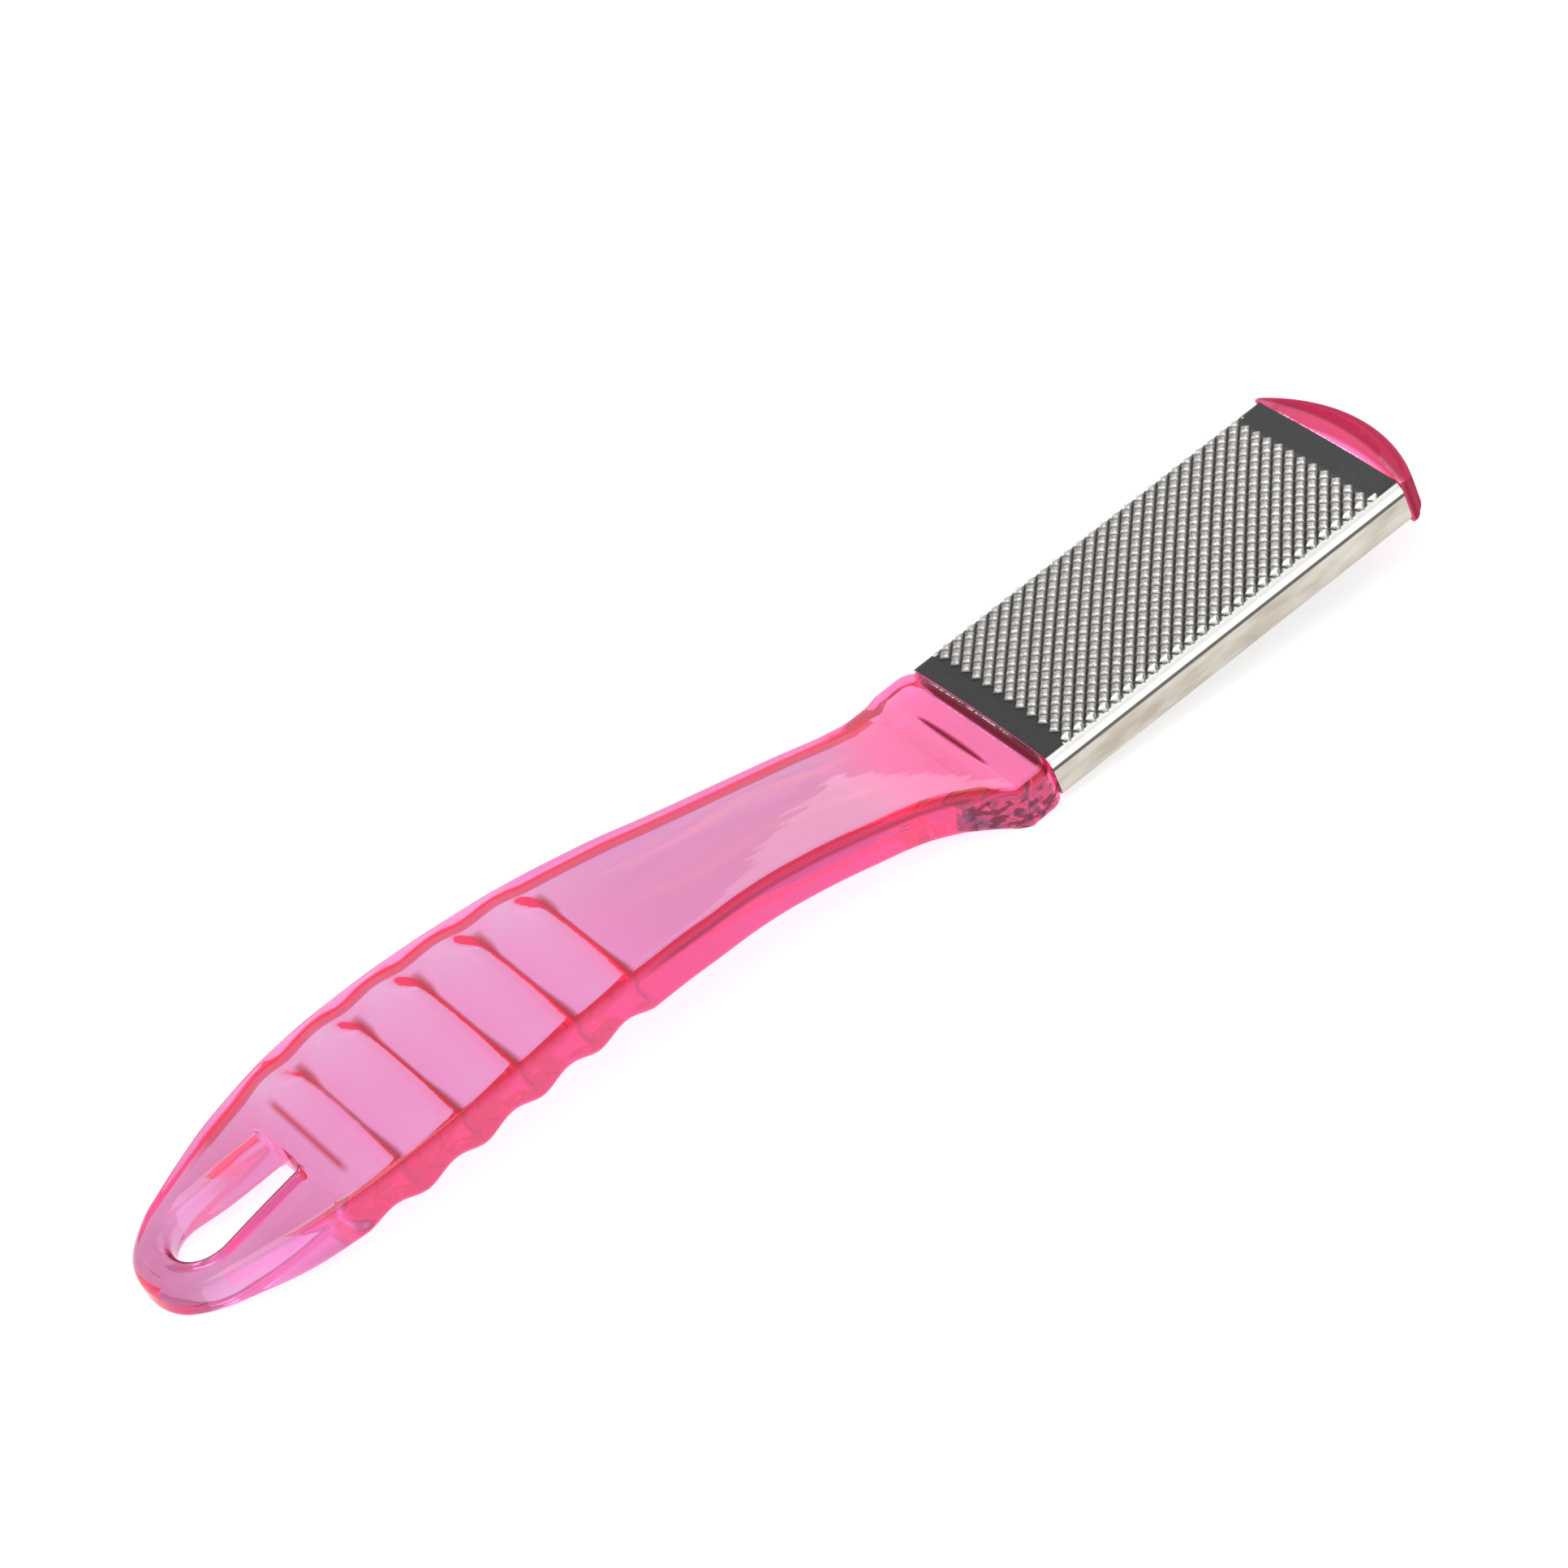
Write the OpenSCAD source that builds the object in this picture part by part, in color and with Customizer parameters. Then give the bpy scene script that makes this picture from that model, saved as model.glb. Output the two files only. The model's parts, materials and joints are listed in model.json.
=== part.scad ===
// Foot file: a clear moulded handle whose flat head carries a file plate on each side.
// Lengths are in millimetres. Each piece is laid out on the head first, with its length along X,
// the near end of the plates at zero and the top of the coarse plate at zero height.
// The whole tool is then tipped to lie as it does on a table, on its shoulder and its tail.

/* [Head] */
// Length of the head between the shoulder and the tip
head_l = 72; // [62:1:82]
// Width of the coarse plate over its side walls
head_w = 36.8; // [34:0.2:40]
// Height from the top of the coarse plate to the underside of its lips
head_h = 8.3; // [7.4:0.1:9.5]
// Rise of the coarse plate's crown over its full width
crown_h = 0.64; // [0.4:0.02:0.9]
// Thickness of both steel sheets
sheet_t = 0.5; // [0.4:0.05:0.6]
// Outer radius of the bend along each long edge of the coarse plate
bend_r = 2.1; // [1.4:0.1:2.6]
// Outer radius of the bend under each side wall
lip_r = 1.2; // [0.9:0.1:1.6]
// Width of each lip folded in under the head, measured from the side wall
lip_w = 3.8; // [3:0.1:5]
// How far the fine plate's face stands below the lips
fine_proud = 0.6; // [0.4:0.05:0.8]
// Radius that softens the corners of the fine plate's raised field
field_r = 0.3; // [0.1:0.05:0.4]
// Clearance of the steel plates over the head and at its ends
fit_gap = 0.1; // [0.05:0.05:0.3]

/* [Teeth] */
// Distance along the head from one tooth to the next in its line
tooth_pitch_l = 2.5; // [2:0.1:3.2]
// Distance across the head from one tooth to the next in its row
tooth_pitch_w = 2.88; // [2.4:0.06:3.4]
// Height of the teeth above the sheet
tooth_h = 0.5; // [0.3:0.05:0.8]
// Width of a tooth's flat top as a share of its base
tooth_top_share = 0.5; // [0.3:0.05:0.8]
// Plain strip left at the end of the coarse plate that meets the shoulder
strip_l = 3.7; // [2:0.1:8]
// Plain strip left at the end of the coarse plate that meets the tip
strip_far_l = 4.4; // [2:0.1:8]
// Plain strip left beside the teeth along each long edge of the coarse plate
strip_w = 0.4; // [0.3:0.1:6]

/* [Tip] */
// How far the tip stands out past the plates
tip_l = 7.4; // [5:0.1:9]
// Width of the tip
tip_w = 36.6; // [34:0.2:38]
// Radius of the tip's curve seen from above
tip_curve_r = 35; // [30:1:60]
// Rise of the tip's top above the top of the core that fills the coarse plate
tip_rise = 0.1; // [0.05:0.05:0.3]
// Radius of the tip's upper edge
tip_edge_r = 2.4; // [1:0.1:3]
// Radius of the tip's lower edge
tip_foot_r = 1.5; // [0.6:0.1:2]
// How far the tip reaches below the lips
tip_foot = 0.35; // [0.2:0.05:0.6]

/* [Handle] */
// Length of the handle from the near end of the plates to the end of the tail
handle_l = 155.1; // [140:0.1:175]
// Width of the shoulder
shoulder_w = 38.8; // [37.8:0.2:42]
// Width of the widest part of the grip
grip_w = 39.6; // [34:0.2:44]
// Thickness of the handle
body_t = 8.6; // [7.6:0.1:9.6]
// Depth of the shoulder's flat below the top of the coarse plate
shoulder_drop = 0.5; // [0.2:0.1:0.9]
// Height of the top of the arch above the coarse plate
arch_h = 17.7; // [12:0.1:22]
// Distance of the top of the arch from the near end of the plates
arch_at = 98; // [90:1:104]
// Radius of the arch towards the tail
arch_tail_r = 330; // [240:5:420]
// Rise across the middle of the handle's top
top_crown = 0.4; // [0.2:0.05:0.8]
// Rise of the underside's middle above its sides, so that the handle sits on its sides
foot_hollow = 0.1; // [0.05:0.05:0.3]
// Radius of the handle's upper edge
edge_r = 2; // [1:0.1:2.6]
// Radius of the handle's lower edge
foot_r = 1.4; // [0.8:0.1:2]
// Radius of the shoulder's front corners seen from above
corner_r = 2.6; // [1:0.1:4]

/* [Finger grip] */
// Distance of the first ridge from the near end of the plates
ridge_at = 72; // [68:0.2:76]
// Distance from one ridge to the next
ridge_pitch = 10.9; // [9:0.1:11.6]
// Number of finger hollows under the grip
hollows = 5; // [3:1:5]
// Depth of the hollows at the sides of the grip
hollow_d = 1.4; // [0.6:0.1:2]

/* [Hang slot] */
// Length of the slot
slot_l = 21.5; // [14:0.5:23]
// Width of the slot at its straight end
slot_w = 9; // [7:0.2:11]
// Width of the slot at its round end
slot_end_w = 11.6; // [9:0.2:12]
// Radius of the slot's two inner corners
slot_r = 1.2; // [0.5:0.1:2]
// Radius of the slot's rims
rim_r = 2.7; // [1.5:0.1:3]
// Width of plastic between the slot's round end and the end of the tail
tail_wall = 6.3; // [5.5:0.1:9]

/* [Hidden] */
// How far a cut runs past the piece that it cuts
over = 2;
// Segments of a small curve and of the crown's wide curve
curve_n = 64;
crown_n = 1440;

// The coarse plate's crown and the centres of its bends
crown_r = (head_w * head_w / 4 + crown_h * crown_h) / (2 * crown_h);
bend_y = head_w / 2 - bend_r;
bend_z = sqrt(pow(crown_r - bend_r, 2) - bend_y * bend_y) - crown_r;
crown_y = bend_y * crown_r / (crown_r - bend_r);
lip_y = head_w / 2 - lip_r;
lip_z = lip_r - head_h;

// The fine plate hangs between the core of the handle and the lips
flange_low = sheet_t - head_h;
flange_top = flange_low + sheet_t;
fine_low = -head_h - fine_proud;
fine_top = fine_low + sheet_t;
flange_y = head_w / 2 - sheet_t - lip_r;
field_y = head_w / 2 - lip_w - fit_gap;

// The teeth stand on a lattice of half pitches with every second place taken
tooth_field_l = head_l - strip_l - strip_far_l;
tooth_field_w = head_w - 2 * strip_w;
lattice_l = floor(2 * tooth_field_l / tooth_pitch_l);
lattice_w = 2 * floor(tooth_field_w / tooth_pitch_w + 1 / 2) - 1;
tooth_root = sheet_t / 10;
tooth_sunk = sheet_t / 2;

// The arch springs from the shoulder's flat and passes its top at arch_at
shoulder_flat_share = 0.0664;
shoulder_flat = shoulder_flat_share * arch_at;
arch_head_r = pow(arch_at - shoulder_flat, 2) / (2 * (arch_h + shoulder_drop));

// Half widths of the handle: place as a share of its length, width as a share of the grip's.
// Those of the shoulder are shares of the shoulder's width.
flare_shares = [
    [0, 1], [0.035, 1], [0.045, 0.992], [0.055, 0.941], [0.068, 0.873], [0.083, 0.82],
    [0.1, 0.765], [0.12, 0.736], [0.145, 0.708]
];
width_shares = [
    [0.12, 0.713], [0.145, 0.702], [0.18, 0.7], [0.22, 0.696], [0.26, 0.702], [0.3, 0.718],
    [0.34, 0.754], [0.38, 0.805], [0.42, 0.843], [0.46, 0.884], [0.5, 0.915], [0.55, 0.944],
    [0.6, 0.972], [0.65, 0.992], [0.7, 1], [0.735, 0.994], [0.77, 0.971], [0.8, 0.934],
    [0.83, 0.887], [0.86, 0.83], [0.89, 0.752], [0.92, 0.665], [0.945, 0.588]
];
// Thickness of the handle along its length, as shares of its length and of its thickness
depth_shares = [
    [0, 0.959], [0.038, 0.988], [0.055, 1.054], [0.075, 1.025], [0.1, 0.997], [0.13, 0.96],
    [0.16, 0.948], [0.2, 0.963], [0.27, 0.967], [0.35, 0.976], [0.42, 0.99], [0.47, 1.004],
    [0.55, 1.014], [0.65, 0.994], [0.74, 0.99], [0.81, 0.995], [0.88, 0.987], [0.93, 0.868],
    [0.97, 0.773], [1, 0.682]
];
// The tail ends in a rounded curve from this share of the length on
tail_share = 0.945;
// Depth of a hollow in the middle of the grip and the place of its deepest point
hollow_mid_share = 0.6;
hollow_low_share = 0.47;
hollow_power = 1.8;
// Places of the points across the flat of the top and of the underside
across_shares = [0, 0.5];
// Steps of each rounded edge
edge_steps = 3;

// Smooth curve through a table of pairs
function slope(t, i) =
    let (a = max(i - 1, 0), b = min(i + 1, len(t) - 1))
    (t[b][1] - t[a][1]) / (t[b][0] - t[a][0]);
function span(t, p, i = 0) =
    i >= len(t) - 2 || p < t[i + 1][0] ? i : span(t, p, i + 1);
function smooth(t, p) =
    let (
        i = span(t, p),
        h = t[i + 1][0] - t[i][0],
        u = min(max((p - t[i][0]) / h, 0), 1),
        u2 = u * u,
        u3 = u2 * u
    )
    (2 * u3 - 3 * u2 + 1) * t[i][1] + (u3 - 2 * u2 + u) * h * slope(t, i)
    + (3 * u2 - 2 * u3) * t[i + 1][1] + (u3 - u2) * h * slope(t, i + 1);
function ease(u) = let (v = min(max(u, 0), 1)) v * v * (3 - 2 * v);

// Half width of the handle at a share of its length, up to where the tail's end begins
function half_w(p) =
    let (k = ease((p - flare_shares[7][0]) / (flare_shares[8][0] - flare_shares[7][0])))
    p <= flare_shares[7][0] ? smooth(flare_shares, p) * shoulder_w / 2
    : (1 - k) * smooth(flare_shares, p) * shoulder_w / 2 + k * smooth(width_shares, p) * grip_w / 2;

// Top of the handle, its thickness and its underside at a distance from the plates
function top_z(s) =
    s <= shoulder_flat ? -shoulder_drop
    : s <= arch_at ? arch_h - pow(arch_at - s, 2) / (2 * arch_head_r)
    : arch_h - pow(s - arch_at, 2) / (2 * arch_tail_r);
function hollow(s) =
    let (
        n = (s - ridge_at) / ridge_pitch,
        u = n - floor(n),
        v = u < hollow_low_share ? u / hollow_low_share / 2
            : (1 + (u - hollow_low_share) / (1 - hollow_low_share)) / 2
    )
    n <= 0 || n >= hollows ? 0 : pow(sin(180 * v), hollow_power);
function low_z(s, c) =
    top_z(s) - smooth(depth_shares, s / handle_l) * body_t + foot_hollow * (1 - c * c)
    + hollow_d * hollow(s) * (hollow_mid_share + (1 - hollow_mid_share) * c * c);

// Half outline seen from above, from the front of the shoulder to the end of the tail.
// Each entry holds the distance from the plates, the half width and the outward normal.
corner_steps = 5;
body_steps = 80;
tail_steps = 10;
tail_from = tail_share * handle_l;
tail_reach = handle_l - tail_from;
tail_y = half_w(tail_share);
tail_slope = (tail_y - half_w(tail_share - 1 / 1000)) / (handle_l / 1000);
function corner_point(a) =
    [corner_r * (1 - cos(a)), shoulder_w / 2 - corner_r * (1 - sin(a)), 0, 1];
function body_point(s) =
    let (
        d = handle_l / 1000,
        y = half_w(s / handle_l),
        g = s < shoulder_flat ? 0 : (y - half_w((s - d) / handle_l)) / d,
        k = sqrt(1 + g * g)
    )
    [s, y, -g / k, 1 / k];
function tail_curve(a) =
    [tail_from + tail_reach * sin(a), tail_y * cos(a) + tail_slope * tail_reach * sin(a) * pow(cos(a), 3)];
function tail_point(a) =
    let (
        p = tail_curve(a),
        t = tail_curve(a + 1) - tail_curve(a - 1),
        k = norm(t)
    )
    a > 89 ? [handle_l, 0, 1, 0] : [p[0], p[1], -t[1] / k, t[0] / k];
outline = concat(
    [for (i = [0 : corner_steps - 1]) corner_point(90 * i / corner_steps)],
    [for (i = [0 : body_steps]) body_point(corner_r + (tail_from - corner_r) * i / body_steps)],
    [for (i = [1 : tail_steps]) tail_point(90 * i / tail_steps)]
);
stations = len(outline);

// Half section at a station, from the middle of the underside round to the middle of the top.
// Each point holds the distance from the plates, the distance from the middle and the height.
function inset(o, d) = [o[0] - d * o[2], o[1] - d * o[3]];
function section(o) =
    let (f = inset(o, foot_r), e = inset(o, edge_r))
    concat(
        [for (c = across_shares) [f[0], c * f[1], low_z(f[0], c)]],
        [for (k = [0 : edge_steps])
            let (a = 90 * k / edge_steps, q = inset(o, foot_r * (1 - sin(a))))
            [q[0], q[1], low_z(q[0], 1) + foot_r * (1 - cos(a))]],
        [for (k = [0 : edge_steps])
            let (a = 90 * k / edge_steps, q = inset(o, edge_r * (1 - cos(a))))
            [q[0], q[1], top_z(q[0]) - top_crown - edge_r * (1 - sin(a))]],
        [for (k = [len(across_shares) - 1 : -1 : 0])
            let (c = across_shares[k])
            [e[0], c * e[1], top_z(e[0]) - top_crown * c * c]]
    );
sections = [for (o = outline) section(o)];
steps = len(sections[0]);
loft_points = [
    for (i = [0 : stations - 1]) for (side = [1, -1]) for (p = sections[i]) [-p[0], side * p[1], p[2]]
];
// The two halves share their middle points, and the tail's last section lies in the middle
function shared(i, h) =
    i < stations - 1 ? h
    : h <= len(across_shares) ? 0
    : h >= steps - len(across_shares) - 1 ? steps - 1
    : h;
function loft_at(i, h, side) =
    let (g = shared(i, h), middle = g == 0 || g == steps - 1 || i == stations - 1)
    (2 * i + (side > 0 || middle ? 0 : 1)) * steps + g;
function corners(q) = concat(
    q[0] == q[1] || q[1] == q[2] || q[0] == q[2] ? [] : [[q[0], q[1], q[2]]],
    q[0] == q[2] || q[2] == q[3] || q[0] == q[3] ? [] : [[q[0], q[2], q[3]]]
);
function patch(i, h, side) =
    let (
        a = loft_at(i, h, side),
        b = loft_at(i, h + 1, side),
        c = loft_at(i + 1, h + 1, side),
        d = loft_at(i + 1, h, side)
    )
    corners(side > 0 ? [a, b, c, d] : [d, c, b, a]);
loft_faces = concat(
    [for (h = [0 : steps - 2])
        each corners([loft_at(0, h, -1), loft_at(0, h + 1, -1), loft_at(0, h + 1, 1), loft_at(0, h, 1)])],
    [for (side = [1, -1]) for (i = [0 : stations - 2]) for (h = [0 : steps - 2])
        each patch(i, h, side)]
);

// How the tool lies on a table: on the lowest line that touches both the head and the tail
near_feet = concat(
    [[-fit_gap, fine_low]],
    [for (s = sections) if (s[0][0] < arch_at / 2) [s[0][0], s[len(across_shares)][2]]]
);
tail_feet = [for (s = sections) if (s[0][0] > arch_at) [s[0][0], s[len(across_shares)][2]]];
rest_slope = max([for (p = near_feet) min([for (q = tail_feet) (q[1] - p[1]) / (q[0] - p[0])])]);
rest_a = atan(rest_slope);
rest_z = -min([for (p = concat(near_feet, tail_feet)) p[1] * cos(rest_a) - p[0] * sin(rest_a)]);
tip_x = head_l + tip_l;
tip_drop = sheet_t + fit_gap - tip_rise;
tip_low = -head_h - tip_foot;
rest_x0 = min([for (p = loft_points) p[0] * cos(rest_a) - p[2] * sin(rest_a)]);
rest_x1 = (tip_x - tip_foot_r) * cos(rest_a) - (tip_low + tip_foot_r) * sin(rest_a) + tip_foot_r;

// The slot's sides touch its round end, and small curves ease its two inner corners.
// The slot's own half outline starts in the middle of its straight end.
// Each entry holds the distance from the plates, the half width and the outward normal.
slot_at = handle_l - tail_wall - slot_l;
slot_end_r = slot_end_w / 2;
slot_c = slot_l - slot_end_r;
slot_a = acos(slot_end_r / norm([slot_c, slot_w / 2])) - atan2(slot_c, slot_w / 2);
slot_n = [sin(slot_a), cos(slot_a)];
slot_in = [slot_r, (slot_w / 2 * slot_n[1] - slot_r * (1 + slot_n[0])) / slot_n[1]];
slot_corner_steps = 4;
slot_side_steps = 4;
slot_end_steps = 8;
function slot_point(c, r, a) =
    [slot_at + c[0] + r * cos(a), c[1] + r * sin(a), cos(a), sin(a)];
slot_half = concat(
    [[slot_at, 0, -1, 0]],
    [for (k = [0 : slot_corner_steps])
        slot_point(slot_in, slot_r, 180 - (90 + slot_a) * k / slot_corner_steps)],
    [for (k = [1 : slot_side_steps - 1])
        let (
            a = slot_point(slot_in, slot_r, 90 - slot_a),
            b = slot_point([slot_c, 0], slot_end_r, 90 - slot_a)
        )
        a + (b - a) * k / slot_side_steps],
    [for (k = [0 : slot_end_steps])
        slot_point([slot_c, 0], slot_end_r, (90 - slot_a) * (1 - k / slot_end_steps))]
);
// The slot's walls curve outwards in steps of this angle to open out round both rims
rim_turns = [0, 25, 50, 70];
rim_steps = len(rim_turns);
function rim_grow(k) = k < rim_steps ? rim_r * (1 - cos(rim_turns[k])) : rim_r;
function rim_drop(k) = k < rim_steps ? rim_r * (1 - sin(rim_turns[k])) : -rim_r / 2;
// Place across the flat of the top or of the underside, as a share of its half width
function slot_share(p) = min(abs(p[1]) / (half_w(min(p[0] / handle_l, tail_share)) - edge_r), 1);
// The upper rim stays sharp along the slot's straight end
function low_rim(o, k) =
    let (p = [o[0] + o[2] * rim_grow(k), o[1] + o[3] * rim_grow(k)])
    [p[0], p[1], low_z(p[0], slot_share(p)) + rim_drop(k)];
function top_rim(o, k) =
    let (
        p = [o[0] + max(o[2], 0) * rim_grow(k), o[1] + o[3] * rim_grow(k)],
        c = slot_share(p)
    )
    [p[0], p[1], top_z(p[0]) - top_crown * c * c - rim_drop(k)];
slot_rings = concat(
    [for (k = [rim_steps : -1 : 0]) [for (o = slot_half) low_rim(o, k)]],
    [for (k = [0 : rim_steps]) [for (o = slot_half) top_rim(o, k)]]
);
slot_count = len(slot_half);
slot_points = [
    for (r = slot_rings) for (side = [1, -1]) for (p = r) [-p[0], side * p[1], p[2]]
];
function slot_index(i, h, side) =
    (2 * i + (side > 0 || h == 0 || h == slot_count - 1 ? 0 : 1)) * slot_count + h;
function slot_patch(i, h, side) =
    let (
        a = slot_index(i, h, side),
        b = slot_index(i, h + 1, side),
        c = slot_index(i + 1, h + 1, side),
        d = slot_index(i + 1, h, side)
    )
    corners(side > 0 ? [d, c, b, a] : [a, b, c, d]);
function slot_cap(i, h) =
    let (
        a = slot_index(i, h, 1),
        b = slot_index(i, h + 1, 1),
        c = slot_index(i, h + 1, -1),
        d = slot_index(i, h, -1)
    )
    h == 0 ? [i > 0 ? [c, b, a] : [a, b, c]]
    : h == slot_count - 2 ? [i > 0 ? [d, b, a] : [a, b, d]]
    : corners(i > 0 ? [d, c, b, a] : [a, b, c, d]);
slot_faces = concat(
    [for (i = [0, len(slot_rings) - 1]) for (h = [0 : slot_count - 2]) each slot_cap(i, h)],
    [for (side = [1, -1]) for (i = [0 : len(slot_rings) - 2]) for (h = [0 : slot_count - 2])
        each slot_patch(i, h, side)]
);

// A piece laid out on the head, tipped to lie as the whole tool does
module rest() {
    translate([-(rest_x0 + rest_x1) / 2, 0, rest_z])
        rotate([0, -rest_a, 0])
            children();
}

// A profile drawn across the head, drawn out along it
module along(x0, x1) {
    translate([x0, 0, 0])
        rotate([90, 0, 90])
            linear_extrude(x1 - x0)
                children();
}

// Filled outline of the coarse plate, drawn in by d
module head_profile(d) {
    top_y = crown_y * (crown_r - d) / crown_r;
    intersection() {
        translate([0, -crown_r])
            circle(crown_r - d, $fn = crown_n);
        translate([-top_y, bend_z])
            square([2 * top_y, over - bend_z]);
    }
    for (side = [-1, 1]) {
        translate([side * bend_y, bend_z])
            circle(bend_r - d, $fn = curve_n);
        translate([side * lip_y, lip_z])
            circle(lip_r - d, $fn = curve_n);
    }
    translate([d - head_w / 2, lip_z])
        square([head_w - 2 * d, bend_z - lip_z]);
    translate([-lip_y, d - head_h])
        square([2 * lip_y, lip_r]);
}

// Teeth of the coarse plate: one sheet of blunt diamonds that meet in grooves
// Their bases follow the crown of the sheet and the start of its bends.
function crown_at(y) =
    abs(y) < crown_y ? sqrt(crown_r * crown_r - y * y) - crown_r
    : bend_z + sqrt(bend_r * bend_r - pow(abs(y) - bend_y, 2));
function crown_slope(y) =
    abs(y) < crown_y ? -y / (crown_at(y) + crown_r)
    : -sign(y) * (abs(y) - bend_y) / (crown_at(y) - bend_z);
function lattice_at(i, j) = [strip_l + i * tooth_pitch_l / 2, (j - lattice_w / 2) * tooth_pitch_w / 2];
function node_at(i, j) = i * (lattice_w + 1) / 2 + floor(j / 2);
nodes = [
    for (i = [0 : lattice_l]) for (j = [(i + 1) % 2 : 2 : lattice_w]) lattice_at(i, j)
];
teeth = [
    for (i = [1 : lattice_l - 1]) for (j = [2 - i % 2 : 2 : lattice_w - 1]) [i, j]
];
function is_tooth(i, j) = i > 0 && i < lattice_l && j > 0 && j < lattice_w;
turns = [[1, 0], [0, 1], [-1, 0], [0, -1]];
function tooth_tops(t) =
    let (
        p = lattice_at(t[0], t[1]),
        g = crown_slope(p[1]),
        z = crown_at(p[1]) + tooth_h
    )
    [for (k = turns)
        let (v = [k[0] * tooth_pitch_l, k[1] * tooth_pitch_w] * tooth_top_share / 2)
        [p[0] + v[0], p[1] + v[1], z + g * v[1]]];
tooth_points = concat(
    [for (n = nodes) [n[0], n[1], crown_at(n[1]) + tooth_root]],
    [for (n = nodes) [n[0], n[1], crown_at(n[1]) - tooth_sunk]],
    [for (t = teeth) each tooth_tops(t)]
);
function tooth_faces(n) =
    let (
        t = teeth[n],
        count = len(nodes),
        top = 2 * count + 4 * n,
        up = [for (k = turns) node_at(t[0] + k[0], t[1] + k[1])]
    )
    concat(
        [[top, top + 3, top + 2], [top, top + 2, top + 1]],
        [[up[0] + count, up[1] + count, up[2] + count], [up[0] + count, up[2] + count, up[3] + count]],
        [for (k = [0 : 3])
            let (a = up[k], b = up[(k + 1) % 4], ta = top + k, tb = top + (k + 1) % 4)
            each [[a, ta, tb], [a, tb, b]]],
        [for (k = [0 : 3])
            let (
                a = up[k],
                b = up[(k + 1) % 4],
                beside = turns[k] + turns[(k + 1) % 4]
            )
            if (!is_tooth(t[0] + beside[0], t[1] + beside[1]))
                each [[a + count, a, b], [a + count, b, b + count]]]
    );

module tooth_sheet() {
    polyhedron(tooth_points, [for (n = [0 : len(teeth) - 1]) each tooth_faces(n)]);
}

// Handle body from the shoulder to the tail
module loft() {
    polyhedron(loft_points, loft_faces);
}

// Core that fills the coarse plate and carries the fine plate
module core() {
    along(0, head_l) {
        intersection() {
            head_profile(sheet_t + fit_gap);
            translate([-head_w / 2, flange_top])
                square([head_w, -flange_top]);
        }
        translate([sheet_t + fit_gap - field_y, fine_top])
            square([2 * (field_y - sheet_t - fit_gap), flange_top - fine_top + sheet_t]);
    }
    along(-over, head_l + over)
        translate([-flange_y, flange_top])
            square([2 * flange_y, bend_z - bend_r - flange_top]);
}

// Rounded tip past the plates, turned about the middle of its curve
module tip() {
    intersection() {
        translate([tip_x - tip_curve_r, 0, 0])
            rotate_extrude($fn = 4 * curve_n) {
                translate([0, tip_low])
                    square([tip_curve_r - tip_edge_r, -tip_drop - tip_low]);
                translate([0, tip_low])
                    square([tip_curve_r - tip_foot_r, tip_foot_r]);
                translate([0, tip_low + tip_foot_r])
                    square([tip_curve_r, -tip_drop - tip_edge_r - tip_low - tip_foot_r]);
                translate([tip_curve_r - tip_edge_r, -tip_drop - tip_edge_r])
                    circle(tip_edge_r, $fn = curve_n);
                translate([tip_curve_r - tip_foot_r, tip_low + tip_foot_r])
                    circle(tip_foot_r, $fn = curve_n);
            }
        translate([head_l, -tip_w / 2, tip_low - over])
            cube([tip_l + over, tip_w, head_h + tip_foot + 2 * over]);
    }
}

// Slot that the tool hangs by
module slot() {
    polyhedron(slot_points, slot_faces);
}

// Clear moulded handle with its head, tip and hang slot
module handle() {
    color([1, 0.35, 0.65, 0.6])
        rest()
            difference() {
                union() {
                    loft();
                    core();
                    tip();
                }
                slot();
            }
}

// Coarse steel plate: a tray bent round the head, with its lips folded in below
module coarse_file_plate() {
    color([0.75, 0.75, 0.74])
        rest()
            union() {
                along(fit_gap, head_l - fit_gap)
                    difference() {
                        head_profile(0);
                        head_profile(sheet_t);
                        translate([lip_w - head_w / 2, -head_h - over])
                            square([head_w - 2 * lip_w, 2 * over]);
                    }
                tooth_sheet();
            }
}

// Fine steel plate: a pressed field that stands between the lips, with flanges above them
module fine_file_plate() {
    color([0.6, 0.6, 0.6])
        rest()
            along(fit_gap, head_l - fit_gap)
                difference() {
                    union() {
                        translate([-flange_y, flange_low])
                            square([2 * flange_y, sheet_t]);
                        translate([-field_y, fine_low + field_r])
                            square([2 * field_y, flange_top - fine_low - field_r]);
                        translate([field_r - field_y, fine_low])
                            square([2 * (field_y - field_r), sheet_t]);
                        for (side = [-1, 1])
                            translate([side * (field_y - field_r), fine_low + field_r])
                                circle(field_r, $fn = curve_n);
                    }
                    translate([sheet_t - field_y, fine_top])
                        square([2 * (field_y - sheet_t), 2 * over]);
                }
}

handle();
coarse_file_plate();
fine_file_plate();
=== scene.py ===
import json
import math

import bmesh
import bpy
import numpy as np
from mathutils import Matrix, Vector


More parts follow.
